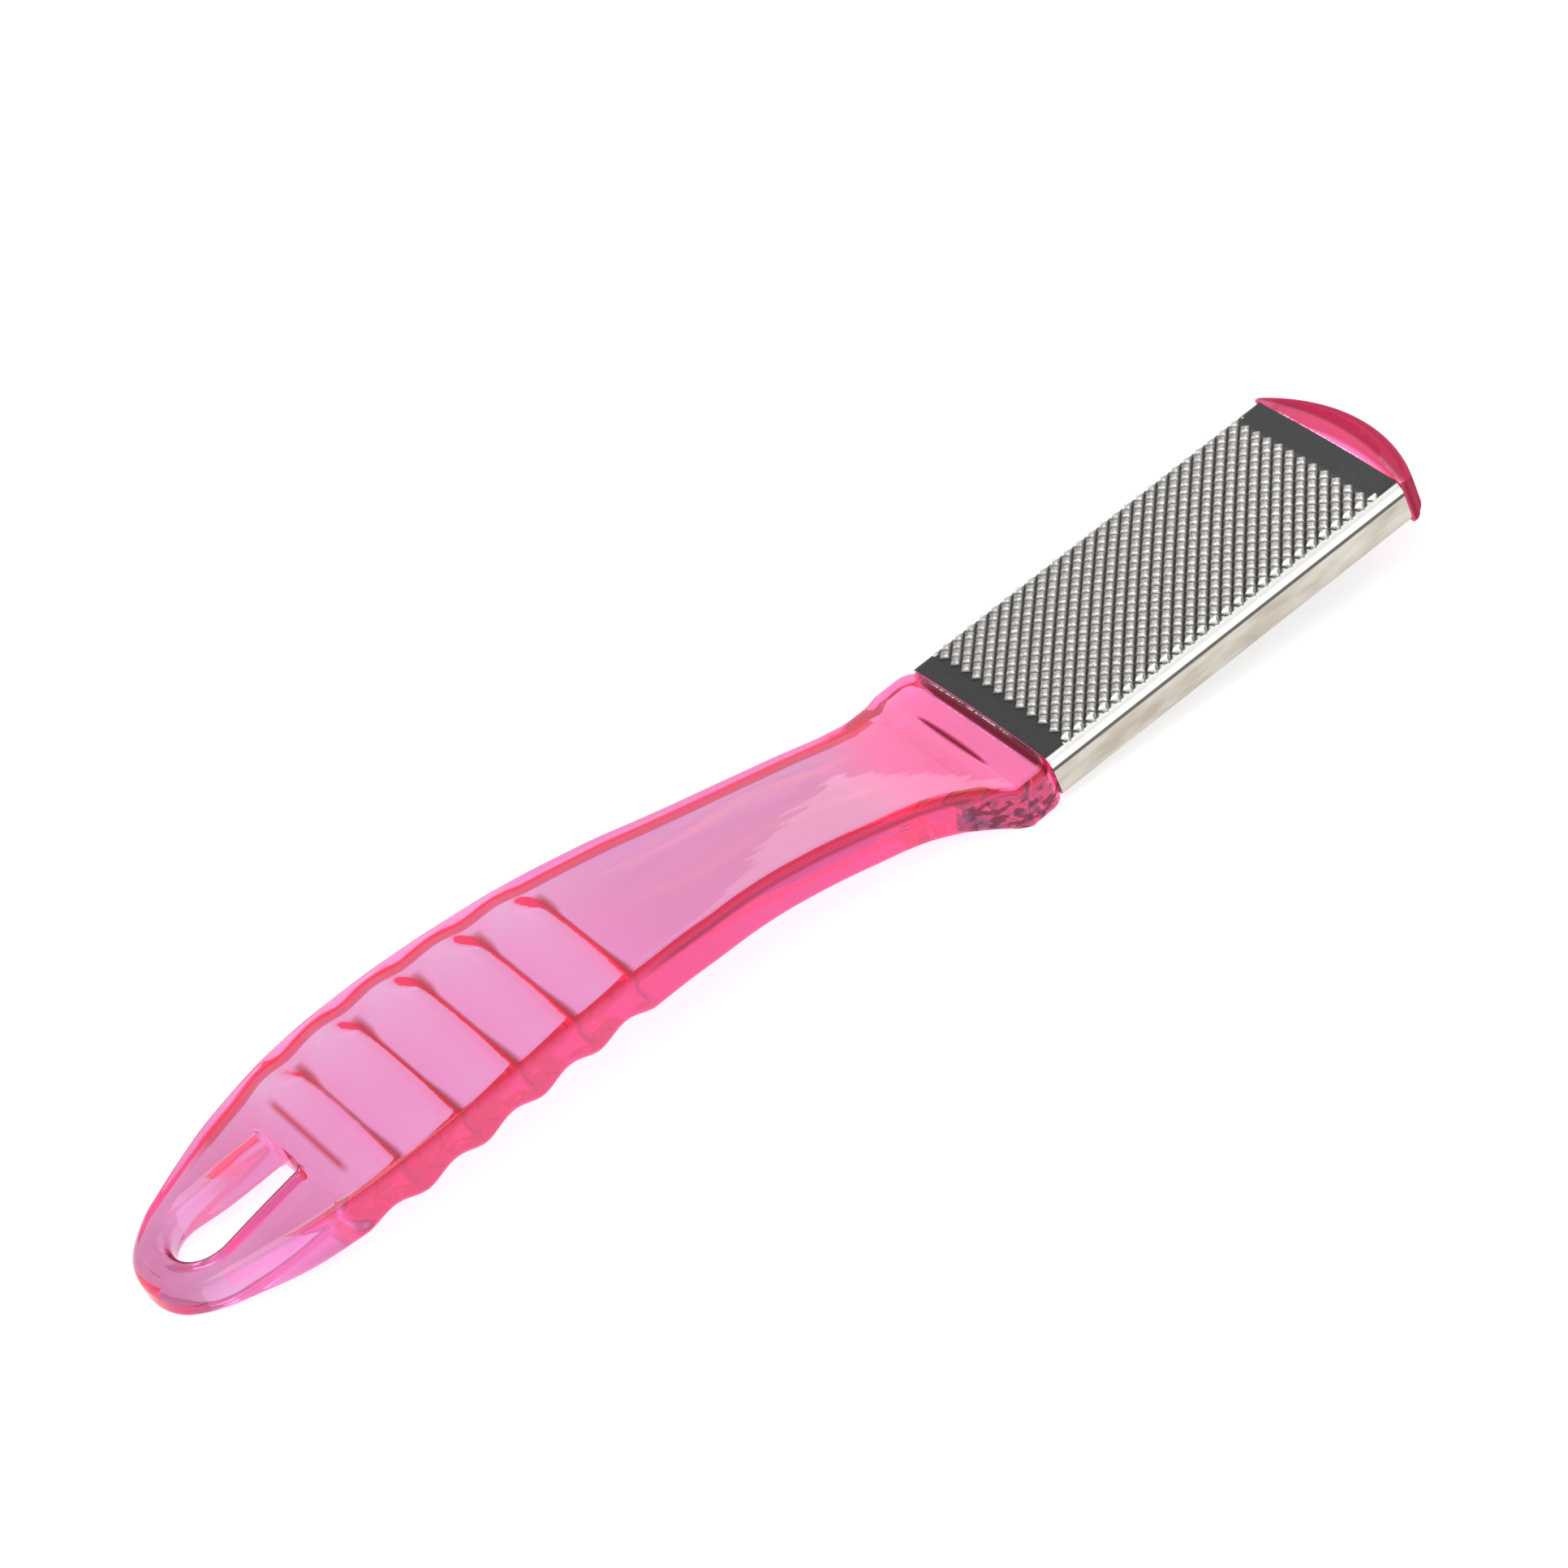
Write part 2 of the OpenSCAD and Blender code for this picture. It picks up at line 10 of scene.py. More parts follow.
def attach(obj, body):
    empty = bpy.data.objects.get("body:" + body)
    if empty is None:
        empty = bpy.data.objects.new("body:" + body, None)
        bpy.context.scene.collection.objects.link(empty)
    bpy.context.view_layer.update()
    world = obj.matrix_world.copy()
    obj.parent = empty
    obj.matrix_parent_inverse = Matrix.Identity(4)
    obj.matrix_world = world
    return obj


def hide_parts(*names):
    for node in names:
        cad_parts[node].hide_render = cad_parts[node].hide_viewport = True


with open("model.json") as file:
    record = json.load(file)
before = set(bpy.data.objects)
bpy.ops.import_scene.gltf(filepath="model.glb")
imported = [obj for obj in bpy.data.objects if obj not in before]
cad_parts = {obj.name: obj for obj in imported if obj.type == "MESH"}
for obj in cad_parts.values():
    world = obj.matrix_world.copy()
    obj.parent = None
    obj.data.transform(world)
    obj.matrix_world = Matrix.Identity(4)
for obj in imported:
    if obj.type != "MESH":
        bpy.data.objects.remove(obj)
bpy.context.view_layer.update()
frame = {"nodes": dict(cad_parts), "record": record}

MM = 0.001

# ---------------------------------------------------------------- the head's own frame
# Lengths below are millimetres on the head: x from the plates' near end to the tip, y to the far side, z up
# from the coarse plate's top. The fine face's mount gives the tilt and the place of that frame on the table.
HEAD_L, HEAD_W, HEAD_H, CROWN_H = 72.0, 36.8, 8.3, 0.64
SHEET, BEND_R, LIP_R, LIP_W = 0.5, 2.1, 1.2, 3.8
FINE_LOW, GAP = -8.9, 0.1
STRIP_L, PITCH_L, PITCH_W, LATTICE_W = 3.7, 2.5, 2.88, 25
mount = [m for m in frame["record"]["mounts"] if m["name"] == "fine_face"][0]
tilt = math.asin(mount["axis"][0])
CT, ST = math.cos(tilt), math.sin(tilt)
SHIFT = mount["pos_m"][0] / MM - (HEAD_L / 2 * CT - FINE_LOW * ST)
LIFT = mount["pos_m"][2] / MM - (HEAD_L / 2 * ST + FINE_LOW * CT)


def to_table(p):
    """Points in millimetres on the head as metres on the table."""
    p = np.asarray(p, float)
    x, y, z = p[..., 0], p[..., 1], p[..., 2]
    return np.stack([x * CT - z * ST + SHIFT, y, x * ST + z * CT + LIFT], -1) * MM


def turn(v):
    """A direction on the head as a direction on the table."""
    return Vector((v[0] * CT - v[2] * ST, v[1], v[0] * ST + v[2] * CT))


# ---------------------------------------------------------------- camera
# solved on the lattice of teeth, in the head's own frame
CAM_POS = (-257.964, -640.258, 568.295)
CAM_RIGHT = (0.763877, -0.554642, -0.329945)
CAM_DOWN = (-0.592391, -0.399766, -0.699471)
CAM_FWD = (0.256056, 0.729766, -0.633937)
FOCAL_PX, FRAME_PX = 7205.86, 1932.0
cam_data = bpy.data.cameras.new("camera")
cam_data.sensor_fit = "HORIZONTAL"
cam_data.sensor_width = 36.0
cam_data.lens = FOCAL_PX / FRAME_PX * 36.0
cam_data.clip_start = 0.01
cam_data.clip_end = 50.0
cam = bpy.data.objects.new("camera", cam_data)
bpy.context.scene.collection.objects.link(cam)
r, u, b = turn(CAM_RIGHT), -turn(CAM_DOWN), -turn(CAM_FWD)
place = Matrix((r, u, b)).transposed().to_4x4()
place.translation = Vector(to_table(CAM_POS))
cam.matrix_world = place
bpy.context.scene.camera = cam


# ---------------------------------------------------------------- mesh helpers
def make_mesh(name, verts, faces):
    me = bpy.data.meshes.new(name)
    me.from_pydata([tuple(map(float, v)) for v in verts], [], [tuple(map(int, f)) for f in faces])
    me.validate()
    me.update()
    ob = bpy.data.objects.new(name, me)
    bpy.context.scene.collection.objects.link(ob)
    return ob


def smooth(ob, degrees):
    me = ob.data
    for p in me.polygons:
        p.use_smooth = True
    me.set_sharp_from_angle(angle=math.radians(degrees))


def boolean(ob, other, how):
    mod = ob.modifiers.new("cut", "BOOLEAN")
    mod.operation = how
    mod.object = other
    mod.solver = "EXACT"
    deps = bpy.context.evaluated_depsgraph_get()
    me = bpy.data.meshes.new_from_object(ob.evaluated_get(deps))
    ob.modifiers.remove(mod)
    old = ob.data
    ob.data = me
    bpy.data.meshes.remove(old)
    bpy.data.objects.remove(other)
    return ob


# ---------------------------------------------------------------- the handle's form, as in the solids
HANDLE_L, SHOULDER_W, GRIP_W, BODY_T = 155.1, 38.8, 39.6, 8.6
SHOULDER_DROP, ARCH_H, ARCH_AT, ARCH_TAIL_R = 0.5, 17.7, 98.0, 330.0
TOP_CROWN, FOOT_HOLLOW, EDGE_R, FOOT_R, CORNER_R = 0.4, 0.1, 2.0, 1.4, 2.6
RIDGE_AT, RIDGE_PITCH, HOLLOWS, HOLLOW_D = 72.0, 10.9, 5, 1.4
SLOT_L, SLOT_W, SLOT_END_W, SLOT_R, RIM_R, TAIL_WALL = 21.5, 9.0, 11.6, 1.2, 2.7, 6.3
SLOT_AT = HANDLE_L - TAIL_WALL - SLOT_L
RIM_TURN = 85
TIP_L, TIP_W, TIP_CURVE_R, TIP_RISE = 7.4, 36.6, 35.0, 0.1
TIP_EDGE_R, TIP_FOOT_R, TIP_FOOT = 2.4, 1.5, 0.35
TIP_DROP = SHEET + GAP - TIP_RISE
TIP_CORE_R, TIP_CORNER_R, TIP_SIDE_L = 5.0, 1.6, 2.2
TIP_CORNER_TURN, TIP_SLANT = 58, (3, 5)
TOUCH, OVERLAP = 0.0005, 0.3
SHOULDER_FLAT = 0.0664 * ARCH_AT
ARCH_HEAD_R = (ARCH_AT - SHOULDER_FLAT) ** 2 / (2 * (ARCH_H + SHOULDER_DROP))
# shares of the handle's length with shares of its width or thickness there
FLARE = [
    (0, 1), (0.035, 1), (0.045, 0.992), (0.055, 0.941), (0.068, 0.873), (0.083, 0.82), (0.1, 0.765),
    (0.12, 0.736), (0.145, 0.708)]
WIDTH = [
    (0.12, 0.713), (0.145, 0.702), (0.18, 0.7), (0.22, 0.696), (0.26, 0.702), (0.3, 0.718),
    (0.34, 0.754), (0.38, 0.805), (0.42, 0.843), (0.46, 0.884), (0.5, 0.915), (0.55, 0.944),
    (0.6, 0.972), (0.65, 0.992), (0.7, 1), (0.735, 0.994), (0.77, 0.971), (0.8, 0.934),
    (0.83, 0.887), (0.86, 0.83), (0.89, 0.752), (0.92, 0.665), (0.945, 0.588)]
DEPTH = [
    (0, 0.959), (0.038, 0.988), (0.055, 1.054), (0.075, 1.025), (0.1, 0.997), (0.13, 0.96),
    (0.16, 0.948), (0.2, 0.963), (0.27, 0.967), (0.35, 0.976), (0.42, 0.99), (0.47, 1.004),
    (0.55, 1.014), (0.65, 0.994), (0.74, 0.99), (0.81, 0.995), (0.88, 0.987), (0.93, 0.868),
    (0.97, 0.773), (1, 0.682)]
TAIL_SHARE = 0.945
HOLLOW_MID, HOLLOW_LOW, HOLLOW_POWER, CREST_POWER = 0.7, 0.47, 1.8, 0.64


def curve(table, p):
    """Value at p of a smooth curve through the points of a table."""
    n = len(table)
    i = 0
    while i < n - 2 and p >= table[i + 1][0]:
        i += 1

    def slope(k):
        a, b = max(k - 1, 0), min(k + 1, n - 1)
        return (table[b][1] - table[a][1]) / (table[b][0] - table[a][0])

    h = table[i + 1][0] - table[i][0]
    t = min(max((p - table[i][0]) / h, 0), 1)
    return ((2 * t**3 - 3 * t * t + 1) * table[i][1] + (t**3 - 2 * t * t + t) * h * slope(i)
            + (3 * t * t - 2 * t**3) * table[i + 1][1] + (t**3 - t * t) * h * slope(i + 1))


def ease(t):
    """0 below 0, 1 above 1 and a soft step between."""
    t = min(max(t, 0), 1)
    return t * t * (3 - 2 * t)


def half_w(p):
    """Half the handle's width at a share p of its length."""
    if p <= FLARE[7][0]:
        return curve(FLARE, p) * SHOULDER_W / 2
    k = ease((p - FLARE[7][0]) / (FLARE[8][0] - FLARE[7][0]))
    return (1 - k) * curve(FLARE, p) * SHOULDER_W / 2 + k * curve(WIDTH, p) * GRIP_W / 2


def top_z(s):
    """Height of the upper face's middle line, s millimetres along the handle from the plates."""
    if s <= SHOULDER_FLAT:
        return -SHOULDER_DROP
    r = ARCH_HEAD_R if s <= ARCH_AT else ARCH_TAIL_R
    return ARCH_H - (s - ARCH_AT) ** 2 / (2 * r)


def hollow(s, c=1):
    """Depth of the finger hollows, with crests that are sharp in the middle and soft at the sides."""
    n = (s - RIDGE_AT) / RIDGE_PITCH
    if n <= 0 or n >= HOLLOWS:
        return 0.0
    t = n - math.floor(n)
    v = t / HOLLOW_LOW / 2 if t < HOLLOW_LOW else (1 + (t - HOLLOW_LOW) / (1 - HOLLOW_LOW)) / 2
    power = CREST_POWER + (HOLLOW_POWER - CREST_POWER) * ease((c - 0.7) / 0.3)
    return max(math.sin(math.pi * v), 0.0) ** power


def low_z(s, c):
    """Height of the underside at s, where c is 0 on the middle line and 1 at the edges."""
    return (top_z(s) - curve(DEPTH, s / HANDLE_L) * BODY_T + FOOT_HOLLOW * (1 - c * c)
            + HOLLOW_D * hollow(s, c) * (HOLLOW_MID + (1 - HOLLOW_MID) * c * c))


TAIL_FROM = TAIL_SHARE * HANDLE_L
TAIL_REACH = HANDLE_L - TAIL_FROM
TAIL_Y = half_w(TAIL_SHARE)
TAIL_SLOPE = (TAIL_Y - half_w(TAIL_SHARE - 0.001)) / (HANDLE_L / 1000)


def tail_curve(a):
    """Plan of the round tail, from its sides at a = 0 to its end at a right angle."""
    slant = TAIL_SLOPE * TAIL_REACH * math.sin(a) * max(math.cos(a), 0) ** 3
    return np.array([TAIL_FROM + TAIL_REACH * math.sin(a), TAIL_Y * math.cos(a) + slant])


def outline(body_steps, corner_steps, tail_steps):
    """Plan of the handle's far side: distance from the plates, half width and outward normal."""
    out = []
    for i in range(corner_steps):
        a = math.pi / 2 * i / corner_steps
        out.append((CORNER_R * (1 - math.cos(a)), SHOULDER_W / 2 - CORNER_R * (1 - math.sin(a)), 0.0, 1.0))
    for i in range(body_steps + 1):
        s = CORNER_R + (TAIL_FROM - CORNER_R) * i / body_steps
        y = half_w(s / HANDLE_L)
        d = HANDLE_L / 1000
        g = 0.0 if s < SHOULDER_FLAT else (y - half_w((s - d) / HANDLE_L)) / d
        k = math.hypot(1, g)
        out.append((s, y, -g / k, 1 / k))
    for i in range(1, tail_steps + 1):
        a = math.pi / 2 * i / tail_steps
        if i == tail_steps:
            out.append((HANDLE_L, 0.0, 1.0, 0.0))
            continue
        p = tail_curve(a)
        t = tail_curve(a + 0.01) - tail_curve(a - 0.01)
        k = np.hypot(*t)
        out.append((p[0], p[1], -t[1] / k, t[0] / k))
    return out


def handle_loft(body_steps=660, corner_steps=10, tail_steps=40, edge_steps=9, across=13, wall_steps=5):
    """Closed mesh of the body of the handle, in millimetres on the head."""
    cs = [k / across for k in range(across)]
    rows = []
    for o in outline(body_steps, corner_steps, tail_steps):
        def inset(d):
            return o[0] - d * o[2], max(o[1] - d * o[3], 0.0)
        row = []
        f = inset(FOOT_R)
        for c in cs:
            row.append((f[0], c * f[1], low_z(f[0], c)))
        for k in range(edge_steps + 1):
            a = math.pi / 2 * k / edge_steps
            q = inset(FOOT_R * (1 - math.sin(a)))
            row.append((q[0], q[1], low_z(q[0], 1) + FOOT_R * (1 - math.cos(a))))
        foot, brow = low_z(o[0], 1) + FOOT_R, top_z(o[0]) - TOP_CROWN - EDGE_R
        for k in range(1, wall_steps):
            row.append((o[0], o[1], foot + (brow - foot) * k / wall_steps))
        for k in range(edge_steps + 1):
            a = math.pi / 2 * k / edge_steps
            q = inset(EDGE_R * (1 - math.cos(a)))
            row.append((q[0], q[1], top_z(q[0]) - TOP_CROWN - EDGE_R * (1 - math.sin(a))))
        e = inset(EDGE_R)
        for c in reversed(cs):
            row.append((e[0], c * e[1], top_z(e[0]) - TOP_CROWN * c * c))
        rows.append(row)
    steps, last = len(rows[0]), len(rows) - 1
    verts, index = [], {}

    def at(i, h, side):
        p = rows[i][h]
        key = (round(-p[0], 6), round(side * p[1], 6), round(p[2], 6))
        if key not in index:
            index[key] = len(verts)
            verts.append(key)
        return index[key]

    faces = []

    def add(q):
        q = [v for n, v in enumerate(q) if v != q[n - 1]]
        if len(set(q)) >= 3:
            faces.append(q)

    for i in range(last):
        for h in range(steps - 1):
            a, b, c, d = (at(i, h, 1), at(i, h + 1, 1), at(i + 1, h + 1, 1), at(i + 1, h, 1))
            add([d, c, b, a])
            a, b, c, d = (at(i, h, -1), at(i, h + 1, -1), at(i + 1, h + 1, -1), at(i + 1, h, -1))
            add([a, b, c, d])
    ring = [at(0, h, 1) for h in range(steps)] + [at(0, h, -1) for h in range(steps - 2, 0, -1)]
    add(ring)
    return np.array(verts), faces


def prism(profile, start, end, axis="x"):
    """Closed prism of a profile of (y, z) points drawn along x, or of (x, y) points drawn along z."""
    n = len(profile)
    if axis == "x":
        v = [(start, p[0], p[1]) for p in profile] + [(end, p[0], p[1]) for p in profile]
    else:
        v = [(p[0], p[1], start) for p in profile] + [(p[0], p[1], end) for p in profile]
    f = [list(range(n))[::-1], list(range(n, 2 * n))]
    f += [[k, (k + 1) % n, n + (k + 1) % n, n + k] for k in range(n)]
    return np.array(v), f


CROWN_R = (HEAD_W * HEAD_W / 4 + CROWN_H * CROWN_H) / (2 * CROWN_H)
BEND_Y = HEAD_W / 2 - BEND_R
BEND_Z = math.sqrt((CROWN_R - BEND_R) ** 2 - BEND_Y**2) - CROWN_R
CROWN_Y = BEND_Y * CROWN_R / (CROWN_R - BEND_R)
LIP_Y, LIP_Z = HEAD_W / 2 - LIP_R, LIP_R - HEAD_H
FLANGE_TOP = 2 * SHEET - HEAD_H


def head_profile(d, low, n=10):
    """Outline of the head drawn in by d and cut off level at low, from lower right round to lower left."""
    right = []
    for k in range(n + 1):
        a = -math.pi / 2 + math.pi / 2 * k / n
        right.append((LIP_Y + (LIP_R - d) * math.cos(a), LIP_Z + (LIP_R - d) * math.sin(a)))
    end = math.atan2(CROWN_Y, math.sqrt(CROWN_R**2 - CROWN_Y**2))
    for k in range(n + 1):
        a = (math.pi / 2 - end) * k / n
        right.append((BEND_Y + (BEND_R - d) * math.cos(a), BEND_Z + (BEND_R - d) * math.sin(a)))
    for k in range(1, n + 1):
        a = end * (1 - k / n)
        right.append(((CROWN_R - d) * math.sin(a), (CROWN_R - d) * math.cos(a) - CROWN_R))
    kept = [p for p in right if p[1] > low]
    right = [(kept[0][0], low)] + kept
    return right + [(-p[0], p[1]) for p in right[-2::-1]]


def rotate_profile(profile, cx, n=260):
    """Closed solid of a profile of (r, z) points turned about the upright line through x = cx."""
    m = len(profile)
    v, f = [], []
    for i in range(n):
        a = 2 * math.pi * i / n
        v += [(cx + p[0] * math.cos(a), p[0] * math.sin(a), p[1]) for p in profile]
    for i in range(n):
        j = (i + 1) % n
        for k in range(m - 1):
            f.append([i * m + k, j * m + k, j * m + k + 1, i * m + k + 1])
    f.append([i * m for i in range(n)][::-1])
    f.append([i * m + m - 1 for i in range(n)])
    return np.array(v), f


def handle_piece():
    """The whole moulding: body, core inside the head, block behind the fine plate, tip and slot."""
    body = make_mesh("handle_moulding", *handle_loft())
    gap = SHEET + GAP
    core = make_mesh("core", *prism(head_profile(gap, FLANGE_TOP), -TOUCH, HEAD_L + TOUCH))
    body = boolean(body, core, "UNION")
    fy = HEAD_W / 2 - LIP_W - GAP - SHEET - GAP
    block_low, block_top = FINE_LOW + SHEET, FLANGE_TOP + SHEET
    corners = [(-fy, block_low), (fy, block_low), (fy, block_top), (-fy, block_top)]
    block = make_mesh("block", *prism(corners, -OVERLAP, HEAD_L + OVERLAP))
    body = boolean(body, block, "UNION")
    n = 10
    low, tip_x = -HEAD_H - TIP_FOOT, HEAD_L + TIP_L
    prof = [(TIP_CORE_R, low)]
    for k in range(n + 1):
        a = -math.pi / 2 + math.pi / 2 * k / n
        prof.append((TIP_CURVE_R - TIP_FOOT_R + TIP_FOOT_R * math.cos(a),
                     low + TIP_FOOT_R + TIP_FOOT_R * math.sin(a)))
    for k in range(n + 1):
        a = math.pi / 2 * k / n
        prof.append((TIP_CURVE_R - TIP_EDGE_R + TIP_EDGE_R * math.cos(a),
                     -TIP_DROP - TIP_EDGE_R + TIP_EDGE_R * math.sin(a)))
    prof.append((TIP_CORE_R, -TIP_DROP))
    tip = make_mesh("tip", *rotate_profile(prof, tip_x - TIP_CURVE_R))
    tw, tr = TIP_W / 2, TIP_CORNER_R
    plan = [(HEAD_L, -tw)]
    for k in range(9):
        a = math.radians(-90 + TIP_CORNER_TURN * k / 8)
        plan.append((HEAD_L + TIP_SIDE_L - tr + tr * math.cos(a), -tw + tr + tr * math.sin(a)))
    plan.append((tip_x + TIP_SLANT[0], -tw + TIP_SLANT[1]))
    plan += [(q[0], -q[1]) for q in plan[::-1]]
    keep = make_mesh("keep", *prism(plan, low - 2, 2, "z"))
    tip = boolean(tip, keep, "INTERSECT")
    body = boolean(body, tip, "UNION")
    body = boolean(body, slot_tool(), "DIFFERENCE")
    return body


# ---------------------------------------------------------------- the handle's looks
# Millimetres again; s is the distance from the plates and c the share of the half width.
# the tip's bright lens is painted light
LENS = 3.0                                  # how far the tip's bright lens bows out beyond the plates
# the dark line at the plates' end is painted shade
PLATE_LINE_AT, PLATE_LINE_W = 1.1, 0.95     # dark line of the plates' end
CREASE_AT, CREASE_Y, CREASE_HALF = 6.2, -1.2, 9.3
CORNER_SHADE_END = 15.5
STREAKS_FROM, STREAKS_TO = 16, 70
UNDERSIDE = 3.5                             # depth from which crests and the line ahead of the slot are drawn
CREST_W, FAR_FLARE, NEAR_FLARE = 0.42, 0.95, 0.7
CRESTS_END, LINE_AT = 120, 122.3
PALE_TAIL_AT = 127


def bump_at(value, middle, reach):
    """1 at the middle, easing to 0 at the reach."""
    return ease(1 - abs(value - middle) / reach)


def shade_at(s, y, z, c, top):
    """How much painted shade lies on the underside at a place, from 0 to 1."""
    out = 0.0
    if z < top - UNDERSIDE:
        # painted shade at the crests between the finger hollows
        k = round((s - RIDGE_AT) / RIDGE_PITCH)
        if 0 <= k < HOLLOWS:
            if y > 0:
                wide = CREST_W + FAR_FLARE * ease((c - 0.45) / 0.25)
                stop = ease((0.93 - c) / 0.08)
            else:
                wide = CREST_W + NEAR_FLARE * ease((c - 0.15) / 0.6)
                stop = ease((0.90 - c) / 0.08)
            out = max(out, stop * bump_at(s, RIDGE_AT + k * RIDGE_PITCH, wide))
        # a short painted line of shade ahead of the slot
        out = max(out, bump_at(s, LINE_AT, 1.0) * ease((y + 10) / 3) * ease((14.5 - y) / 3))
    return out


def painted_line_at(s, y, z, c, top):
    """How much painted shade hides a place on the upper face as a dark line, from 0 to 1."""
    out = 0.0
    if z > top - 1 and s < 9:
        # painted shade: the dark line of the plate's end and a dark line along a crease across the shoulder
        out = max(out, bump_at(s, PLATE_LINE_AT, PLATE_LINE_W) * ease((13.5 - y) / 3))
        full = 1 - ((y - CREASE_Y) / CREASE_HALF) ** 2
        if full > 0:
            out = max(out, bump_at(s, CREASE_AT, 0.3 + 0.6 * full) * min(1, 3 * full))
    if SLOT_AT < s < SLOT_AT + SLOT_L + RIM_R and z > top - RIM_R - 0.5:
        # painted shade along the slot's upper rim on the near side and round the end
        t = s - SLOT_AT
        end = SLOT_L - SLOT_END_W / 2
        if t < end:
            g = abs(y) - (SLOT_W + (SLOT_END_W - SLOT_W) * t / end) / 2
        else:
            g = math.hypot(t - end, y) - SLOT_END_W / 2
        near = 1 if t < end else max(-y / max(math.hypot(t - end, y), 0.01), 0)
        if g > -0.1 and y < 2:
            out = max(out, bump_at(g, 0.6 + 0.65 * near, 0.65) * ease((2 - y) / 2))
    return out


# tint along the handle, at millimetres from the plates
TINTS = [
    (0, (0.84, 0.62, 0.75)), (14, (0.84, 0.64, 0.75)), (27, (0.62, 0.80, 0.72)),
    (60, (0.63, 0.80, 0.77)), (76, (0.69, 0.87, 0.87)), (118, (0.68, 0.86, 0.86)),
    (138, (0.58, 0.64, 0.68)), (156, (0.52, 0.46, 0.54))]
# tints of single places: painted reflections and painted shade
LILAC_REFLECTION, WARM_REFLECTION, MAGENTA_EDGE_SHADE = (0.60, 0.42, 0.95), (0.82, 0.98, 0.66), (0.72, 0.28, 0.62)
CRIMSON_SHADE, NEAR_CREST_SHADE, FAR_FOOT_SHADE = (0.42, 0.006, 0.02), (0.16, 0.006, 0.02), (0.30, 0.002, 0.02)
# colours of haze and of painted shade
MAROON_SHADE, BROW_SHADE, CREST_SHADE = (0.22, 0.008, 0.035), (0.34, 0.05, 0.08), (0.42, 0.02, 0.03)
SLOT_PALE, SLOT_RED_SHADE = (0.98, 0.55, 0.82), (0.70, 0.025, 0.10)
# painted glows of upright walls
WALL_GLOW, TAIL_GLOW, FOOT_GLOW = (0.13, 0.05, 0.13), (0.22, 0.10, 0.24), (0.24, 0.003, 0.02)
SLOT_GLOW, SLOT_LOW_GLOW, SLOT_RED_GLOW = (0.20, 0.10, 0.20), (0.20, 0.08, 0.16), (0.06, 0, 0.01)


def mixed(a, b, f):
    """a turned into b by f, number by number."""
    return tuple(u + (v - u) * f for u, v in zip(a, b))


def lit_by(glow, level):
    """A glow at a level, as four numbers."""
    return (*(v * level for v in glow), 1)


